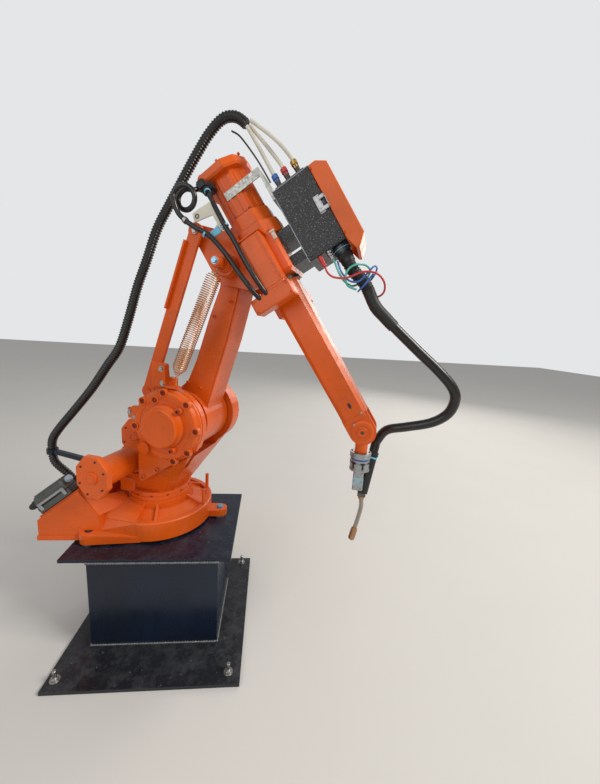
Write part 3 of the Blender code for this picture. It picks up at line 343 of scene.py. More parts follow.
# the part's material slot that the pieces of each finish belong to
NODE_FINISH = {
    ORANGE: ("robot_base", "turret", "shoulder_cover", "far_gear_cover", "shoulder_motor",
             "linkage_motor", "turning_motor", "spring_bracket", "lower_arm", "crank",
             "parallel_rod", "upper_arm", "rear_motor", "side_motor", "far_side_motor", "forearm",
             "wrist_housing"),
    ORANGE_LID: ("feeder_lid",),
    BLACK: ("pedestal_column", "top_plate"),
    FLOOR_BLACK: ("floor_plate",),
    BRACKET_BLACK: ("hose_bracket", "conduit_gland"),
    WRINKLE: ("feeder_box",),
    GALVANISED: ("feeder_strap",),
    GREY_CAST: ("connector_hood",),
    PALE_METAL: ("tool_flange", "collision_sensor", "torch_holder"),
    CREAM: ("cable_bracket",),
    MATT_RUBBER: ("torch_body",),
    DARK_STEEL: ("torch_socket", "hose_fittings"),
    NECK_STEEL: ("swan_neck",),
    COPPER: ("gas_nozzle",),
}


def finish_nodes():
    for finish, names in NODE_FINISH.items():
        for name in names:
            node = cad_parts[name]
            node.data.materials.clear()
            node.data.materials.append(finish)


# shapes, each a closed bmesh in the coordinates of its link

NEAR, FAR, UP, DOWN = (0, -1, 0), (0, 1, 0), (0, 0, 1), (0, 0, -1)
AHEAD, BEHIND = (1, 0, 0), (-1, 0, 0)
CREASE, TUBE_CREASE = 35.0, 60.0  # degrees from which an edge stays sharp
SEAT = 0.0005  # how far a fitting reaches into what it sits on
CURVE_STEPS = 20  # fine points between two points of a route
RIB_HEIGHT, RIB_PITCH, RIB_ROOT = 0.0006, 0.0100, 0.86  # the root as a share of the radius


def on_circle(count, radius, start=0.0, turn=360.0):
    """Places evenly round a turn about the origin, from an angle on, both in degrees."""
    angles = [radians(start) + radians(turn) * i / count for i in range(count)]
    return [(radius * cos(a), radius * sin(a)) for a in angles]


def at_y(y, pairs, centre=(0.0, 0.0)):
    """Places on one plane across Y, from (x, z) pairs about a centre."""
    return [(centre[0] + x, y, centre[1] + z) for x, z in pairs]


def turned(profile, sides=32):
    """A profile of (radius, height) points, from the axis to the axis, spun about Z."""
    shape = bmesh.new()
    points = [shape.verts.new((r, 0, h)) for r, h in profile]
    edges = [shape.edges.new(pair) for pair in zip(points, points[1:])]
    bmesh.ops.spin(shape, geom=points + edges, axis=UP, cent=(0, 0, 0), steps=sides,
                   angle=2 * pi, use_merge=True, use_duplicate=False)
    bmesh.ops.remove_doubles(shape, verts=shape.verts, dist=0.000005)
    bmesh.ops.recalc_face_normals(shape, faces=shape.faces)
    return shape


def walled(shape, loops, around):
    """Quads between neighbouring loops of points, and between the last and first if around."""
    for a, b in zip(loops, loops[1:] + (loops[:1] if around else [])):
        for i in range(len(a)):
            j = (i + 1) % len(a)
            shape.faces.new((a[i], a[j], b[j], b[i]))
    if not around:
        shape.faces.new(loops[0])
        shape.faces.new(loops[-1])
    bmesh.ops.recalc_face_normals(shape, faces=shape.faces)
    return shape


def ring(inner, outer, low, high, sides=32):
    """A closed ring of rectangular section about Z."""
    shape = bmesh.new()
    section = ((inner, low), (outer, low), (outer, high), (inner, high))
    loops = [[shape.verts.new((x, y, height)) for x, y in on_circle(sides, radius)]
             for radius, height in section]
    return walled(shape, loops, True)


def tube(route, radius, sides=12):
    """A round tube along points, with its sections turned as little as possible."""
    points = [Vector(p) for p in route]
    radii = radius if isinstance(radius, list) else [radius] * len(points)
    shape = bmesh.new()
    loops = []
    side = None
    for i, point in enumerate(points):
        way = (points[min(i + 1, len(points) - 1)] - points[max(i - 1, 0)]).normalized()
        side = side or way.orthogonal().normalized()
        side = (side - way * side.dot(way)).normalized()
        over = way.cross(side)
        loops.append([shape.verts.new(point + (side * x + over * y) * radii[i])
                      for x, y in on_circle(sides, 1.0)])
    return walled(shape, loops, False)


def extruded(corners, step):
    shape = bmesh.new()
    face = shape.faces.new([shape.verts.new(c) for c in corners])
    grown = bmesh.ops.extrude_face_region(shape, geom=[face])["geom"]
    moved = [v for v in grown if isinstance(v, bmesh.types.BMVert)]
    bmesh.ops.translate(shape, vec=step, verts=moved)
    bmesh.ops.recalc_face_normals(shape, faces=shape.faces)
    return shape


def soften(shape, width, segments=1):
    bmesh.ops.bevel(shape, geom=shape.edges[:], offset=width, segments=segments, affect="EDGES",
                    clamp_overlap=True)
    return shape


def block(x, y, z, edge, segments=1):
    """A box between (low, high) pairs, with its edges broken."""
    shape = bmesh.new()
    bmesh.ops.create_cube(shape, size=1.0)
    for v in shape.verts:
        v.co = [low + (high - low) * (c + 0.5) for c, (low, high) in zip(v.co, (x, y, z))]
    return soften(shape, edge, segments)


def hexagon(radius, low, height, edge):
    corners = [(x, y, low) for x, y in on_circle(6, radius)]
    return soften(extruded(corners, (0, 0, height)), edge)


def aimed(shape, direction, at=(0, 0, 0)):
    """Turn a shape's Z to a direction and move its origin to a place."""
    turn = Vector(UP).rotation_difference(Vector(direction)).to_matrix().to_4x4()
    bmesh.ops.transform(shape, matrix=Matrix.Translation(at) @ turn, verts=shape.verts)
    return shape


def spun(shape, angle, axis, centre=(0, 0, 0)):
    """Turn a shape by degrees about an axis through a centre."""
    bmesh.ops.rotate(shape, cent=centre, matrix=Matrix.Rotation(radians(angle), 3, axis),
                     verts=shape.verts)
    return shape


def joined(shapes):
    """Several closed shapes as one bmesh."""
    whole = bmesh.new()
    for shape in shapes:
        mesh = bpy.data.meshes.new("part")
        shape.to_mesh(mesh)
        shape.free()
        whole.from_mesh(mesh)
        bpy.data.meshes.remove(mesh)
    return whole


def set_at(spots, way, make, *sizes, **more):
    """Copies of a shape at several places, facing one way."""
    return joined([aimed(make(*sizes, **more), way, spot) for spot in spots])


def piece(name, shape, finish, link, body, slot=None, crease=CREASE):
    """A piece of the scene from a shape in its link's coordinates, riding on a body."""
    bmesh.ops.transform(shape, matrix=link, verts=shape.verts)
    mesh = bpy.data.meshes.new(name)
    shape.to_mesh(mesh)
    shape.free()
    mesh.materials.append(finish)
    made = bpy.data.objects.new(name, mesh)
    bpy.context.collection.objects.link(made)
    mesh.shade_smooth()
    mesh.set_sharp_from_angle(angle=radians(crease))
    if body:
        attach(made, body)
    return made


# fasteners, with their heads along Z from the seat at height 0

def cap_screw(radius, height=None):
    """A cap screw's head with its socket."""
    height = height or radius * 1.15
    edge, socket = radius * 0.12, height * 0.35
    return turned([(0, socket), (radius * 0.56, socket), (radius * 0.58, height),
                   (radius - edge, height), (radius, height - edge), (radius, -SEAT),
                   (0, -SEAT)], 20)


def hex_bolt(radius, height=None, washer=True, stud=0.0):
    """A hexagon head or nut on its washer, with the thread's end where there is one."""
    height = height or radius * 0.75
    lift = radius * 0.14 if washer else 0.0
    shapes = [hexagon(radius, lift - 0.0002, height, radius * 0.07)]
    if washer:
        rim = radius * 1.28
        shapes.append(turned([(0, -SEAT), (rim, -SEAT), (rim, lift), (0, lift)], 24))
    if stud:
        thread, top = radius * 0.52, height + stud
        shapes.append(turned([(0, height * 0.5), (thread, height * 0.5), (thread, top - 0.001),
                              (radius * 0.44, top), (0, top)], 16))
    return joined(shapes)


def screws(name, spots, way, radius, finish, link, body, make=cap_screw, **sizes):
    """Fasteners of one kind on one body, at places in its link's coordinates."""
    piece(name, set_at(spots, way, make, radius, **sizes), finish, link, body)


def fitters(link, body):
    """The two calls that add pieces and screws to one body, in its link's coordinates."""
    return partial(piece, link=link, body=body), partial(screws, link=link, body=body)


def boss(radius, height, hole):
    """A raised round boss with a counterbore of a share of its radius for its screw."""
    hole *= radius
    return turned([(0, -0.012), (radius, -0.012), (radius, height - 0.0015),
                   (radius - 0.0015, height), (hole, height), (hole - 0.0005, height - 0.006),
                   (0, height - 0.006)], 28)


def round_plate(radius, height):
    edge = min(0.0012, height * 0.3)
    return turned([(0, -0.0006), (radius, -0.0006), (radius, height - edge),
                   (radius - edge, height), (0, height)])


# cords

def smooth_curve(points, first, last):
    """Close points on the smooth curve through a route, from one of its own points to another."""
    known = [Vector(p) for p in (points[0], *points, points[-1])]
    fine = []
    for i in range(first, last):
        p0, p1, p2, p3 = known[i:i + 4]
        for k in range(CURVE_STEPS):
            t = k / CURVE_STEPS
            fine.append(0.5 * (2 * p1 + (p2 - p0) * t + (2 * p0 - 5 * p1 + 4 * p2 - p3) * t * t
                               + (3 * p1 - p0 - 3 * p2 + p3) * t ** 3))
    return fine + [known[last + 1]]


def curve_length(fine):
    return sum((b - a).length for a, b in zip(fine, fine[1:]))


def evenly(fine, spacing):
    """Points at even steps along a curve, its two ends among them."""
    total = curve_length(fine)
    count = max(2, round(total / spacing))
    route = [fine[0]]
    walked = 0.0
    for a, b in zip(fine, fine[1:]):
        step = (b - a).length
        while len(route) < count and step > 0 and walked + step >= total * len(route) / count:
            route.append(a.lerp(b, (total * len(route) / count - walked) / step))
        walked += step
    return route + [fine[-1]]


def cord(node, route, first, last, radius, finish, bodies, ribs=0.0):
    """One stretch of hose over its CAD node, ribbed where ribs is the pitch of its corrugation.

    A stretch that crosses a joint is fixed where it lies and rides on no body.
    """
    fine = smooth_curve(route, first, last)
    points = evenly(fine, ribs / 4 if ribs else radius * 0.8)
    radii = radius
    if ribs:
        radii = [radius * (1.0 if i % 4 in (0, 1) else RIB_ROOT) for i in range(len(points))]
    body, onward = bodies
    made = piece(f"{node}_hose", tube(points, radii, 20), finish, ARM, None if onward else body,
                 crease=TUBE_CREASE)
    if onward:
        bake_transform(made)
    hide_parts(node)


CONDUIT_MOUTH = [tuple(ARM.inverted() @ PANEL @ Vector((GLAND_X, GLAND_Y, GLAND_TOP + rise)))
                 for rise in (FIT, 0.030)]
CONDUIT_ROUTE = CONDUIT_MOUTH + [
    (-0.455, -0.098, 0.585), CLAMP, (-0.455, -0.102, 0.690), (-0.416, -0.100, 0.745),
    (-0.330, -0.100, 0.835), (-0.237, -0.100, 0.935), (-0.159, -0.100, 1.033),
    (-0.098, -0.100, 1.110), (-0.052, -0.100, 1.219), (-0.011, -0.098, 1.336),
    (0.026, -0.090, 1.433), (0.062, -0.080, 1.536), (0.104, -0.070, 1.616),
    (0.152, -0.060, 1.700), (0.198, -0.050, 1.780), (0.244, -0.043, 1.848),
    (0.292, -0.040, 1.890), (0.338, -0.040, 1.892), (0.376, -0.040, 1.868)]
FEED_STARTS = ((0.3815, -0.048, 1.8575), (0.3865, -0.032, 1.8665), (0.3925, -0.048, 1.8745))
FEED_MIDDLES = ((0.430, -0.048, 1.786), (0.444, -0.036, 1.806), (0.478, -0.047, 1.816))
TORCH_WAY = (Vector(TORCH_HEAD) - Vector(TORCH_FOOT)).normalized()
TORCH_TOP = Vector(WRIST) + Vector(TORCH_HEAD) + TORCH_WAY * FIT
TORCH_ROUTE = [
    from_elbow(OUTLET[0] + FIT, *OUTLET[1:]), from_elbow(OUTLET[0] + 0.030, *OUTLET[1:]),
    (0.807, -0.018, 1.377),
    (0.844, -0.016, 1.312), (0.881, -0.014, 1.275), (0.913, -0.012, 1.246),
    (1.004, -0.004, 1.168), (1.070, -0.002, 1.113), (1.123, 0.004, 1.060),
    (1.141, 0.012, 1.017), (1.129, 0.025, 0.963), (1.081, 0.036, 0.921),
    (0.999, 0.055, 0.889), (0.932, 0.072, 0.863), (0.901, 0.080, 0.815),
    tuple(TORCH_TOP + TORCH_WAY * 0.035), tuple(TORCH_TOP)]


def cords():
    for node, first, last, bodies in (("conduit_base", 0, 4, ("base", "column")),
                                      ("conduit_lower", 4, 10, ("column", "lower_arm")),
                                      ("conduit_upper", 10, 20, ("lower_arm", "upper_arm"))):
        cord(node, CONDUIT_ROUTE, first, last, CONDUIT_RADIUS + RIB_HEIGHT, RUBBER, bodies,
             RIB_PITCH)
    for start, middle, height, name in zip(FEED_STARTS, FEED_MIDDLES, FITTING_Z, "123"):
        route = [start, middle, from_elbow(FITTING_X - 0.030, FITTING_Y, height),
                 from_elbow(FITTING_X - FIT, FITTING_Y, height)]
        cord(f"feed_hose_{name}", route, 0, 3, HOSE_RADIUS, WHITE_HOSE, ("upper_arm", None))
    for node, first, last, bodies in (("torch_cable_upper", 0, 6, ("upper_arm", "forearm")),
                                      ("torch_cable_middle", 6, 11, ("forearm", "wrist")),
                                      ("torch_cable_lower", 11, 16, ("wrist", "tool"))):
        cord(node, TORCH_ROUTE, first, last, CABLE_RADIUS, RUBBER, bodies)


LOOP_RADIUS, LOOP_STEP = 0.034, -0.0033
LOOP = [(-0.230 + x, -0.137 + i * LOOP_STEP, 0.004 + z)
        for i, (x, z) in enumerate(on_circle(13, LOOP_RADIUS, 120, 552.5))]
MOTOR_CABLES = {
    "motor_cable_1": (0.0082, RUBBER, [
        (-0.250, -0.098, 0.062), (-0.226, -0.116, 0.066), (-0.190, -0.136, 0.071),
        (-0.150, -0.152, 0.073), (-0.082, -0.160, 0.0735), (-0.034, -0.163, 0.077),
        (0.030, -0.167, 0.077), (0.090, -0.166, 0.078), (0.140, -0.158, 0.080),
        (0.162, -0.146, 0.082)]),
    "motor_cable_2": (0.0082, RUBBER, [
        (-0.252, -0.100, 0.050), (-0.252, -0.118, 0.044), *LOOP,
        (-0.200, -0.172, -0.037), (-0.170, -0.166, -0.0305), (-0.135, -0.163, -0.014),
        (-0.089, -0.163, 0.013), (-0.017, -0.168, 0.032), (0.050, -0.170, 0.040),
        (0.110, -0.166, 0.047), (0.146, -0.158, 0.052), (0.164, -0.146, 0.056)]),
}
FEEDER_HOSES = {
    "water_hose": (0.0036, MINT, [
        (0.158, -0.050, 0.309), (0.172, -0.051, 0.311), (0.208, -0.050, 0.307),
        (0.234, -0.044, 0.308), (0.252, -0.026, 0.316), (0.262, -0.002, 0.330),
        (0.262, 0.014, 0.370), (0.247, 0.008, 0.398), (0.228, -0.020, 0.393),
        (0.215, -0.045, 0.369), (0.214, -0.053, 0.341), (0.230, -0.053, 0.319),
        (0.258, -0.051, 0.312), (0.284, -0.047, 0.330)]),
    "red_hose": (0.0034, RED, [
        (0.166, -0.052, 0.278), (0.185, -0.053, 0.275), (0.208, -0.056, 0.283),
        (0.229, -0.060, 0.306), (0.240, -0.063, 0.331), (0.244, -0.065, 0.353),
        (0.250, -0.064, 0.376), (0.266, -0.060, 0.400), (0.287, -0.052, 0.414),
        (0.312, -0.040, 0.416), (0.330, -0.022, 0.407), (0.336, -0.002, 0.392),
        (0.330, 0.014, 0.372), (0.308, 0.018, 0.352)]),
    "blue_hose": (0.0032, BLUE_SHINY, [
        (0.172, -0.047, 0.320), (0.215, -0.051, 0.315), (0.250, -0.053, 0.325),
        (0.266, -0.056, 0.350), (0.258, -0.055, 0.385), (0.249, -0.043, 0.410),
        (0.252, -0.020, 0.420), (0.262, 0.002, 0.410), (0.274, 0.013, 0.383),
        (0.281, 0.009, 0.344), (0.288, -0.020, 0.332), (0.288, -0.046, 0.345),
        (0.281, -0.056, 0.371), (0.270, -0.050, 0.398), (0.266, -0.028, 0.412)]),
}
HOSE_STAY = [(0.392, -0.004, 1.846), (0.340, 0.010, 1.872), (0.300, 0.010, 1.880),
             (0.335, 0.004, 1.857), (0.400, 0, 1.782), (0.452, 0, 1.708)]


def small_cables():
    """Motor cables, the feeder's gas and water hoses and their stay, each a tube riding on the upper
    arm.
    """
    for runs, slot, stiffness in ((MOTOR_CABLES, "black_rubber", "stiff"),
                                  (FEEDER_HOSES, "white_hose", "medium")):
        for name, (radius, finish, route) in runs.items():
            fine = smooth_curve(route, 0, len(route) - 1)
            points = evenly(fine, max(0.004, radius * 0.7))
            made = piece(name, tube(points, radius), finish, UPPER, "upper_arm", slot,
                         TUBE_CREASE)
    stay = tube(evenly(smooth_curve(HOSE_STAY, 2, 5), 0.006), 0.0030, 8)
    piece("hose_stay", stay, DARK_STEEL, ARM, "upper_arm", crease=TUBE_CREASE)


def sleeve():
    """The ribbed bend protector on the torch cable where it leaves the feeder."""
    points = evenly(smooth_curve(TORCH_ROUTE, 0, 5), 0.0022)
    radii = []
    for i in range(len(points)):
        share = i / (len(points) - 1)
        ribbed = share < 0.42 and i % 4 in (2, 3)
        waist = 0.91 if ribbed else 0.97 if 0.44 < share < 0.62 else 1.0
        radii.append((0.0226 - 0.0024 * share) * waist)
    made = piece("outlet_sleeve", tube(points, radii, 24), MATT_RUBBER, ARM, None,
                 crease=TUBE_CREASE)
    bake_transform(made)


def balance_coil():
    """The spring that balances the lower arm, wound in place of its plain solid."""
    turns, steps_a_turn, wire, outer = 52, 14, 0.0018, 0.0230
    pin_radius, hook = 0.017, 0.014
    eye = [Vector((0.190, SPRING_Y, z)) for z in (0.9975, 1.012, 1.030)]
    low = eye[-1]
    pin = Vector((ELBOW[0], SPRING_Y, ELBOW[1]))
    way = (pin - low).normalized()
    side = way.orthogonal().normalized()
    over = way.cross(side)
    length = (pin - low).length - pin_radius - hook
    steps = turns * steps_a_turn
    coil = []
    for i in range(steps + 1):
        share = i / steps
        cone = min(1.0, 0.16 + share * turns / 5, 0.3 + (1 - share) * turns / 3)
        angle = 2 * pi * share * turns
        place = low + way * (0.004 + (length - 0.006) * share)
        coil.append(place + (side * cos(angle) + over * sin(angle)) * outer * cone)
    route = eye + coil + [low + way * (length + 0.003), low + way * (length + 0.0135)]
    made = piece("balance_spring_coil", tube(route, wire, 6), SPRING_STEEL_PAINTED_REFLECTION, ARM, None,
                 crease=TUBE_CREASE)
    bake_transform(made)
    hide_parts("balance_spring")


# screws, welds, trim and other small fittings, link by link

def shoulder_details():
    add, fix = fitters(ARM, "column")
    rim = [(-0.002, 0.123), (0.088, 0.088), (0.124, -0.004), (0.091, -0.088), (0.034, -0.128),
           (-0.087, 0.085), (-0.122, -0.012), (-0.036, 0.094)]
    add("cover_bosses", set_at(at_y(COVER_FACE, rim, AXIS2), NEAR, boss, 0.0158, 0.004, 0.66),
        ORANGE)
    # the cover's and lugs' screw heads take the darker orange copy: painted shade in their
    # counterbores
    fix("cover_screws", at_y(COVER_FACE + 0.0018, rim, AXIS2), NEAR, 0.0082, SHADED_ORANGE,
        height=0.0052)
    lugs, lug_height = [(0.066, 0.066), (0.037, -0.083)], 0.016
    add("cap_lugs", set_at(at_y(COVER_FACE, lugs, AXIS2), NEAR, round_plate, 0.0105, lug_height),
        ORANGE)
    fix("cap_lug_screws", at_y(COVER_FACE - lug_height, lugs, AXIS2), NEAR, 0.0062, SHADED_ORANGE)
    spots = [(0.045, 0.629), (0.106, 0.668), (0.200, 0.733), (0.246, 0.766)]
    fix("skirt_screws", at_y(SKIRT_FACE, spots), NEAR, 0.0076, ORANGE)
    fix("spring_bracket_bolts", at_y(BRACKET_FACE, [(0.126, 1.052), (0.131, 1.000)]), NEAR,
        0.0085, ZINC, make=hex_bolt)
    ear_face = -0.1640
    add("cover_ear", block((-0.018, 0.030), (ear_face, -0.1504), (0.856, 0.897), 0.003, 2), ORANGE)
    fix("cover_ear_bolts", at_y(ear_face, [(-0.006, 0.879), (0.014, 0.866)]), NEAR, 0.0078, ZINC,
        make=hex_bolt)
    add("cover_step", aimed(ring(0.1000, 0.1030, 0, 0.0012, 56), NEAR,
                            (AXIS2[0], COVER_FACE, AXIS2[1])), ORANGE)
    holes = [(0.0184, 0.06204), (-0.04232, 0.0376), (-0.0506, -0.02444), (-0.02024, -0.06204),
             (0.04232, -0.0376), (0.0506, 0.02444)]
    rings, heads = [], []
    for (x, z), y, way in ((SIDE_MOTOR, -SIDE_MOTOR_END, NEAR), (SIDE_MOTOR, SIDE_MOTOR_END, FAR),
                           (MIDDLE_MOTOR, MIDDLE_MOTOR_END, NEAR)):
        rings.append(aimed(ring(0.0165, 0.0185, 0, 0.0012), way, (x, y + way[1] * 0.005, z)))
        heads.append(set_at(at_y(y, holes, (x, z)), way, cap_screw, 0.0038, 0.0026))
    add("motor_cap_rings", joined(rings), ORANGE)
    add("motor_cap_screws", joined(heads), DARK_STEEL)
    fix("far_cover_screws", at_y(FAR_FACE + 0.010, on_circle(12, 0.131), AXIS2), FAR, 0.0068,
        ORANGE)
    ring_top = 0.5160
    add("turning_ring", ring(0.1055, 0.1225, 0.5003, ring_top, 48), ORANGE)
    # the turning ring's screws take the darker orange copy: painted shade
    fix("turning_ring_screws", [(x, y, ring_top) for x, y in on_circle(12, 0.1165, 18)], UP,
        0.0046, SHADED_ORANGE)


def base_details():
    add, fix = fitters(BASE, "base")
    feet = [REAR_FOOT, (REAR_FOOT[0], -REAR_FOOT[1])]
    well = [(0, 0.0010), (0.0080, 0.0010), (0.0080, 0.0040), (0.0142, 0.0040), (0.0150, 0.0006),
            (0.0150, -0.0004), (0, -0.0004)]
    add("foot_screws", set_at([(x, y, FOOT_TOP) for x, y in feet], UP, turned, well, 24),
        DARK_STEEL)
    fix("front_foot_bolt", [(FRONT_FOOT_X, 0, FRONT_FOOT_TOP)], UP, 0.0125, BLUE_ZINC,
        make=hex_bolt)
    add("foot_spacers", set_at([(x, y, 0) for x, y in feet + [(FRONT_FOOT_X, 0)]], UP,
                               ring, 0.0262, 0.0300, 0.3724, 0.3777), ZINC)


def panel_details():
    """What sits on the terminal box's sloping panel, measured from the panel's top."""
    add, fix = fitters(PANEL @ Matrix.Translation((0, 0, PANEL_THICKNESS)), "base")
    spots = [(x, y, 0) for x in (0.020, SLOPE_LENGTH - 0.022) for y in (-0.060, 0.070, 0.170)]
    fix("panel_screws", spots, UP, 0.0052, ZINC)
    hood_run, hood_top = (0.030, 0.144), 0.050
    ribs = [block(hood_run, (y, y + 0.0045), (hood_top, 0.0715), 0.0008)
            for y in (-0.171, -0.158, -0.145, -0.132)]
    add("hood_ribs", joined(ribs), GREY_CAST)
    levers = [block(x, (-0.1875, -0.1835), (0.010, 0.040), 0.0012)
              for x in ((0.026, 0.040), (0.134, 0.148))]
    levers.append(block(hood_run, (-0.1885, -0.1850), (0.030, 0.040), 0.0012))
    add("hood_levers", joined(levers), PALE_METAL, slot="zinc_steel")
    cap = turned([(0, 0), (0.0125, 0), (0.0135, 0.006), (0.0120, 0.018), (0, 0.019)], 24)
    add("hood_cap", aimed(cap, (1, 0, 0.2), (0.150, -0.146, hood_top)), PALE_BLUE)
    gland_y, gland_z = -0.1475, 0.0423
    nut = aimed(hex_bolt(0.0175, 0.011, False), BEHIND, (0, gland_y, gland_z))
    gland = turned([(0, 0), (0.0135, 0), (0.0130, 0.012), (0.0095, 0.019), (0, 0.019)], 24)
    add("hood_gland", joined([nut, aimed(gland, BEHIND, (-0.010, gland_y, gland_z))]), MATT_RUBBER)
    rim = GLAND_TOP - PANEL_THICKNESS
    nut = [hexagon(0.0285, 0.016, 0.014, 0.0012), ring(0.0180, 0.0262, rim - 0.004, rim + 0.001)]
    add("conduit_gland_nut", aimed(joined(nut), UP, (GLAND_X, GLAND_Y, 0)), MATT_RUBBER)


def weld(route):
    """A weld bead along straight stretches, with the ripples of its passes."""
    radius, step = 0.0050, 0.0022
    points = []
    for a, b in zip(route, route[1:]):
        count = max(2, round((b - a).length / step))
        points += [a.lerp(b, i / count) for i in range(count)]
    points.append(route[-1])
    return tube(points, [radius * (1 + 0.16 * sin(i * 1.35) + 0.08 * sin(i * 0.37 + 1))
                         for i in range(len(points))], 8)


def pedestal_details():
    beads = []
    for z, reach in ((0.0135, 0.0012), (0.3585, 0.0006)):
        (x0, x1), (y0, y1) = ((middle - size / 2 - reach, middle + size / 2 + reach)
                              for middle, size in zip(TUBE_CENTRE, TUBE_SIZE))
        corners = ((x0, y0), (x1, y0), (x1, y1), (x0, y1), (x0, y0))
        beads.append(weld([Vector((x, y, z)) for x, y in corners]))
    add, fix = fitters(BASE, "base")
    add("pedestal_welds", joined(beads), WELD, crease=TUBE_CREASE)
    studs = [(-0.222, -0.423), (0.352, -0.420), (0.352, 0.136), (-0.222, 0.136)]
    fix("anchor_nuts", [(x, y, PLATE_TOP) for x, y in studs], UP, 0.0125, ZINC, make=hex_bolt,
        stud=0.028)
    plug = ring(0.0045, 0.0085, PLATE_TOP - 0.0004, PLATE_TOP + 0.0008, 24)
    add("spare_hole_plug", aimed(plug, UP, (-0.048, -0.417, 0)), MATT_RUBBER)


def lower_arm_details():
    add, fix = fitters(LOWER, "lower_arm")
    spots = [(-0.007, 0.421), (0.036, 0.492), (0.030, 0.150), (-0.024, 0.150)]
    fix("lower_arm_screws", at_y(LOWER_FACE, spots), NEAR, 0.0062, ORANGE)
    add("lower_arm_cover", block((-0.012, 0.026), (-0.0695, -0.0665), (0.200, 0.300), 0.001),
        ORANGE)
    collars = [aimed(round_plate(radius, height), NEAR, (ELBOW[0], y, ELBOW[1]))
               for y, radius, height in ((-0.1300, 0.0370, 0.003), (-0.1330, 0.0260, 0.006),
                                         (-0.1390, 0.0225, 0.009))]
    piece("elbow_collars", joined(collars), ORANGE, ARM, "upper_arm")
    spots = [(ELBOW[0], y, ELBOW[1]) for y in (-0.1560, -0.1760, -0.1880)]
    piece("elbow_shaft_rings", set_at(spots, NEAR, ring, 0.0174, 0.0205, 0, 0.003), ORANGE, ARM,
          "lower_arm")
    screws("elbow_bolt", at_y(SHAFT_END, [ELBOW]), NEAR, 0.0088, BLUE_ZINC, ARM, "lower_arm",
           hex_bolt)
    screws("lever_pin_bolt", at_y(LEVER_FACE, [LEVER], ELBOW), NEAR, 0.0085, ZINC, ARM,
           "upper_arm", hex_bolt)


def upper_arm_details():
    add, fix = fitters(UPPER, "upper_arm")
    ribs = [spun(block((-0.262, -0.128), (y, y + 0.0110),
                       (GEAR_AXIS_Z + 0.0650, GEAR_AXIS_Z + 0.0686), 0.0012),
                 45 * turn, "X", (0, 0, GEAR_AXIS_Z))
            for turn in range(8) for y in (-0.0185, 0.0075)]
    add("rear_motor_ribs", joined(ribs), ORANGE)
    spots = [(REAR_MOTOR_END, side * y, z)
             for y, z in ((0.075, 0.060), (0.082, 0.135), (0.040, 0.204)) for side in (1, -1)]
    fix("rear_cap_screws", spots, BEHIND, 0.0048, ORANGE)
    spots = [(GEAR_FACE, y, GEAR_AXIS_Z + z) for y, z in on_circle(8, 0.0745, 22.5)]
    # the ring's screws take the darker orange copy: painted shade
    fix("ring_screws", spots, BEHIND, 0.0050, SHADED_ORANGE)
    ribs = []
    for side in (-1, 1):
        y = side * 0.150
        ribs += [block((-0.012, 0.150), (y - 0.0018, y + 0.0018), z, 0.0010)
                 for z in ((0.084, 0.141), (0.147, 0.156))]
        flange = sorted((side * 0.0912, side * 0.1505))
        ribs.append(block((-0.0235, -0.0190), flange, (0.078, 0.162), 0.001))
    add("side_motor_ribs", joined(ribs), ORANGE)
    corners = [(0.163, 0.030), (0.199, 0.030), (0.163, 0.156), (0.199, 0.156)]
    for name, way in (("near", NEAR), ("far", FAR)):
        fix(f"side_cap_screws_{name}", at_y(way[1] * UPPER_MOTOR_END, corners), way, 0.0044,
            ORANGE)
    plug = block((-0.268, -0.236), (-0.132, -0.088), (0.046, 0.078), 0.005, 2)
    stub = turned([(0, 0), (0.0130, 0), (0.0130, 0.016), (0.0095, 0.022), (0, 0.022)], 24)
    root = block((-0.270, -0.238), (-0.094, -0.060), (0.050, 0.086), 0.004, 2)
    stub = aimed(stub, (1, -0.15, 0.1), (-0.238, -0.116, 0.064))
    add("motor_plug", joined([plug, stub, root]), MATT_RUBBER)
    add("cable_connector", aimed(ring(0.0080, 0.0108, -0.005, 0.005, 24), (1, 0.02, 0.35),
                                 (-0.170, -0.166, -0.0305)), ZINC)
    face = -0.150
    # a dark ring laid round a hole in the bracket: painted shade in the hole
    add("bracket_hole", aimed(ring(0.0042, 0.0076, 0, 0.0016, 24), NEAR, (-0.166, face, 0.006)),
        DARK_STEEL)
    fix("bracket_screw", [(-0.092, face, 0.062)], NEAR, 0.0055, ZINC)
    ties = [soften(aimed(ring(0.0088, 0.0112, -0.003, 0.003, 20), way, spot), 0.0005)
            for spot, way in (((-0.222, -0.124, 0.068), (1, -0.4, 0.1)),
                              ((-0.084, -0.156, 0.0735), (1, -0.05, 0.05)),
                              ((-0.098, -0.161, 0.004), (1, 0, 0.55)))]
    ties.append(block((-0.100, -0.078), (-0.1545, face), (0.018, 0.052), 0.001))
    add("cable_ties", joined(ties), BLUE_TIE)
    lug = [block((-0.016, 0.012), (-0.0920, -0.0885), (0.178, 0.191), 0.001),
           block((-0.016, -0.011), (-0.0980, -0.0885), (0.176, 0.193), 0.001)]
    add("ring_lug", joined(lug), CREAM)


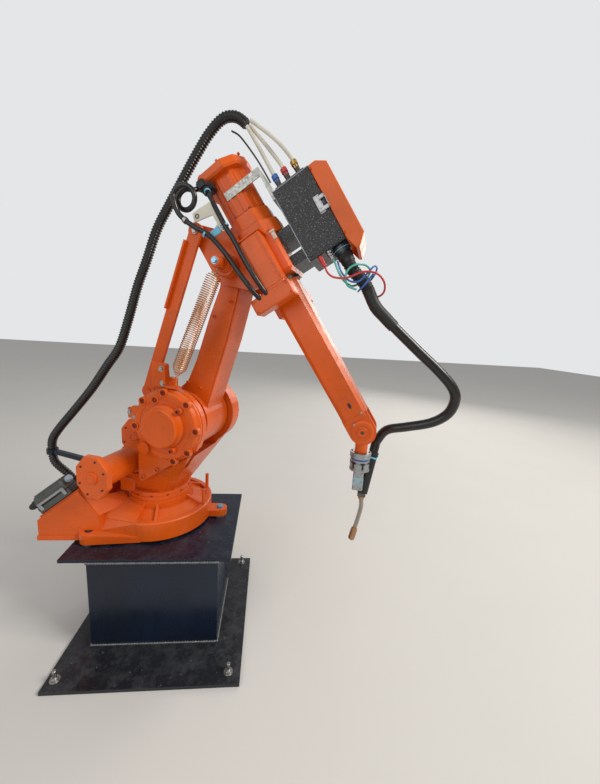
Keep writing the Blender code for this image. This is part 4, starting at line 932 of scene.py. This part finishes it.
def feeder_details():
    add, fix = fitters(UPPER, "upper_arm")
    (rear, front), side, foot = FEEDER_X, -0.065, 0.2405
    depth = (side - 0.001, side + 0.003)
    trim = [block(x, y, z, 0.0005) for x, y, z in (
        ((rear - 0.0008, front + 0.0008), depth, (foot, 0.2440)),
        ((rear - 0.0008, rear + 0.0024), depth, (0.2440, 0.3780)),
        ((rear - 0.0010, rear + 0.0020), (side, 0.115), (foot, 0.2430)))]
    add("feeder_trim", joined(trim), TRIM)
    plate, catch = side - 0.0032, side - 0.0078
    latch = [block((-0.034, 0.026), (plate, side), (0.3440, 0.3640), 0.0012),
             block((-0.030, 0.014), (side - 0.0095, plate), (0.3480, 0.3600), 0.0020, 2),
             block((0.010, 0.022), (catch, side - 0.003), (0.3460, 0.3790), 0.0016, 2),
             block((-0.026, -0.014), (catch, side - 0.003), (0.3460, 0.3800), 0.0016, 2),
             tube([(-0.022, side - 0.0080, 0.3790), (0.020, side - 0.0080, 0.3790)], 0.0020, 10)]
    add("lid_latch", joined(latch), CHROME)
    fix("latch_screws", [(x, plate, z) for z in (0.3465, 0.3615) for x in (-0.0315, 0.0235)],
        NEAR, 0.0016, ZINC)
    for name, z, finish in zip(("blue", "red", "brass"), FITTING_Z, (BLUE_SHINY, RED, BRASS)):
        collars = [aimed(ring(0.0068, 0.0112, 0, 0.014, 24), AHEAD,
                         (FITTING_X - 0.012, FITTING_Y, z)),
                   aimed(ring(0.0068, 0.0098, 0, 0.010, 6), AHEAD,
                         (FITTING_X + 0.003, FITTING_Y, z))]
        add(f"hose_collar_{name}", joined(collars), finish)
    nuts = [ring(0.0185, 0.0262, 0.1585, 0.1740, 8), ring(0.0185, 0.0238, 0.1740, 0.1890)]
    for name, shape, finish in (
            ("outlet_collar", ring(0.0255, 0.0300, 0.1315, 0.1545, 40), TEAL),
            # a thin pale ring: a painted highlight on the collar's edge
            ("outlet_line", ring(0.0290, 0.0304, 0.1420, 0.1432, 40), WHITE_HOSE),
            ("outlet_gland", joined(nuts), MATT_RUBBER)):
        piece(name, shape, finish, SPOUT, "upper_arm")
    stub = turned([(0, 0), (0.0095, 0), (0.0095, 0.008), (0.0070, 0.010), (0.0070, 0.030),
                   (0, 0.030)], 20)
    water = [aimed(stub, AHEAD, (front - 0.001, -0.050, 0.309)),
             aimed(hex_bolt(0.0098, 0.010, False), AHEAD, (front + 0.008, -0.050, 0.309))]
    add("water_fitting", joined(water), CHROME)
    stub = turned([(0, 0), (0.0085, 0), (0.0090, 0.012), (0.0075, 0.022), (0.0075, 0.038),
                   (0, 0.038)], 20)
    add("red_coupling", aimed(stub, AHEAD, (front - 0.001, -0.052, 0.278)), RED)
    fix("lid_screws", at_y(side - 0.0004, [(-0.110, 0.3825), (0.112, 0.3825)]), NEAR, 0.0040,
        ORANGE_LID)
    fix("feeder_screws", at_y(side, [(-0.112, 0.256), (0.114, 0.256), (0.114, 0.362)]), NEAR,
        0.0042, DARK_STEEL)


def forearm_details():
    add, fix = fitters(UPPER, "forearm")
    face = -0.056
    x, z = FOREARM_LENGTH, ELBOW_OFFSET
    discs = [aimed(ring(0.0250, 0.0285, 0, 0.0012, 40), NEAR, (x, face + 0.0030, z)),
             aimed(ring(0.0065, 0.0150, 0, 0.0018), NEAR, (x, face, z))]
    add("wrist_disc_rings", joined(discs), ORANGE)
    # a dark disc filling the ring's hole: painted shade in the hole
    add("wrist_disc_hole", aimed(round_plate(0.0066, 0.0006), NEAR, (x, face, z)), DARK_STEEL)
    fix("forearm_screws", at_y(FORK_FACE, [(0.683, 0.107), (0.655, 0.150)]), NEAR, 0.0042, ZINC)
    # a black oval laid on the face where the forearm has a slot: painted shade in the slot
    oval = at_y(-0.0498, [(0.011 * u, 0.005 * v) for u, v in on_circle(20, 1.0)], (0.616, 0.125))
    add("forearm_slot", soften(extruded(oval, (0, -0.0012, 0)), 0.0003), MATT_RUBBER)
    seal = aimed(ring(0.0595, 0.0640, 0, 0.010, 48), AHEAD, (0.1240, 0, z))
    piece("forearm_seal", seal, GREY_CAST, UPPER, "upper_arm")
    add("wrist_far_cap", aimed(round_plate(0.030, 0.004), FAR, (x, 0.046, z)), ORANGE)


def hand_details():
    add, fix = fitters(HAND, "tool")
    rings = [ring(0.0370, 0.0388, -0.0960, -0.0890, 40), ring(0.0370, 0.0388, -0.1060, -0.0990, 40),
             ring(0.0350, 0.0372, -0.1570, -0.1500, 40)]
    add("flange_rings", joined(rings), PALE_METAL)
    add("sensor_seal", ring(0.0345, 0.0362, -0.1150, -0.1086, 40), BLUE)
    windows = [spun(block((0.0335, 0.0361), (-y, y), z, 0.0006), angle, "Z")
               for angle in (-127, -69, -9, 51, 111, 171)
               for y, z in ((0.0078, (-0.129, -0.121)), (0.0036, (-0.147, -0.1292)))]
    add("sensor_windows", joined(windows), MATT_RUBBER)
    fix("flange_screws", [(x, y, -0.0870) for x, y in on_circle(6, 0.0310)], UP, 0.0030, DARK_STEEL)
    spots = [(x, -0.022, z) for x in (-0.013, 0.013) for z in (-0.168, -0.196, -0.226)]
    fix("holder_screws", spots, NEAR, 0.0034, ZINC)
    # the holder plate's pale blue is a painted reflection of the arc's light
    add("holder_plate", block((-0.0196, 0.0196), (-0.0236, -0.0200), (-0.214, -0.182), 0.001),
        PALE_BLUE)
    head = Vector(TORCH_HEAD)
    tie = ring(0.0184, 0.0204, -0.0030, 0.0030, 28)
    add("torch_tie", aimed(tie, TORCH_WAY, head - TORCH_WAY * 0.020), BLUE_TIE)
    add("torch_cuff", aimed(ring(0.0182, 0.0212, -0.012, 0.004, 28), TORCH_WAY, head), MATT_RUBBER)
    clamp = block((0.0030, 0.0330), (-0.0150, 0.0150), (-0.2616, -0.2440), 0.002, 2)
    add("neck_clamp", clamp, GREY_CAST)
    add("neck_nut", aimed(ring(0.0082, 0.0112, 0, 0.010, 24), DOWN, (0.018, 0, -0.2630)), COPPER)


def stage():
    bpy.ops.mesh.primitive_plane_add(size=30, location=(0, 0, -0.0005))
    floor = bpy.context.object
    floor.name = "floor"
    s = Shader("pale_floor")
    tint = s.mix(s.noise(2.0, 5), (0.66, 0.65, 0.63), (0.62, 0.61, 0.59))
    floor.data.materials.append(s.finish(base_color=tint, roughness=0.75))
    world = bpy.data.worlds.new("studio")
    bpy.context.scene.world = world
    world.use_nodes = True
    nodes = world.node_tree.nodes
    background = nodes["Background"]
    background.inputs["Color"].default_value = (0.86, 0.86, 0.86, 1)
    background.inputs["Strength"].default_value = 0.52
    shown = nodes.new("ShaderNodeBackground")
    shown.inputs["Color"].default_value = (0.78, 0.79, 0.80, 1)
    path = nodes.new("ShaderNodeLightPath")
    both = nodes.new("ShaderNodeMixShader")
    for start, end in ((path.outputs["Is Camera Ray"], both.inputs[0]),
                       (background.outputs[0], both.inputs[1]), (shown.outputs[0], both.inputs[2]),
                       (both.outputs[0], nodes["World Output"].inputs["Surface"])):
        world.node_tree.links.new(start, end)
    area_light("key", (5.0, -2.2, 5.0), 2.4, 290, (1.0, 0.95, 0.86))
    area_light("fill", (-1.8, -3.6, 2.6), 3.4, 48, (1.0, 0.98, 0.96))
    area_light("back", (3.4, 4.0, 3.0), 3.0, 80, (1.0, 0.95, 0.88))
    bpy.context.scene.view_settings.view_transform = "Standard"


make_camera()
finish_nodes()
cords()
small_cables()
sleeve()
balance_coil()
for add_details in (shoulder_details, base_details, panel_details, pedestal_details,
                    lower_arm_details, upper_arm_details, feeder_details, forearm_details,
                    hand_details):
    add_details()
stage()
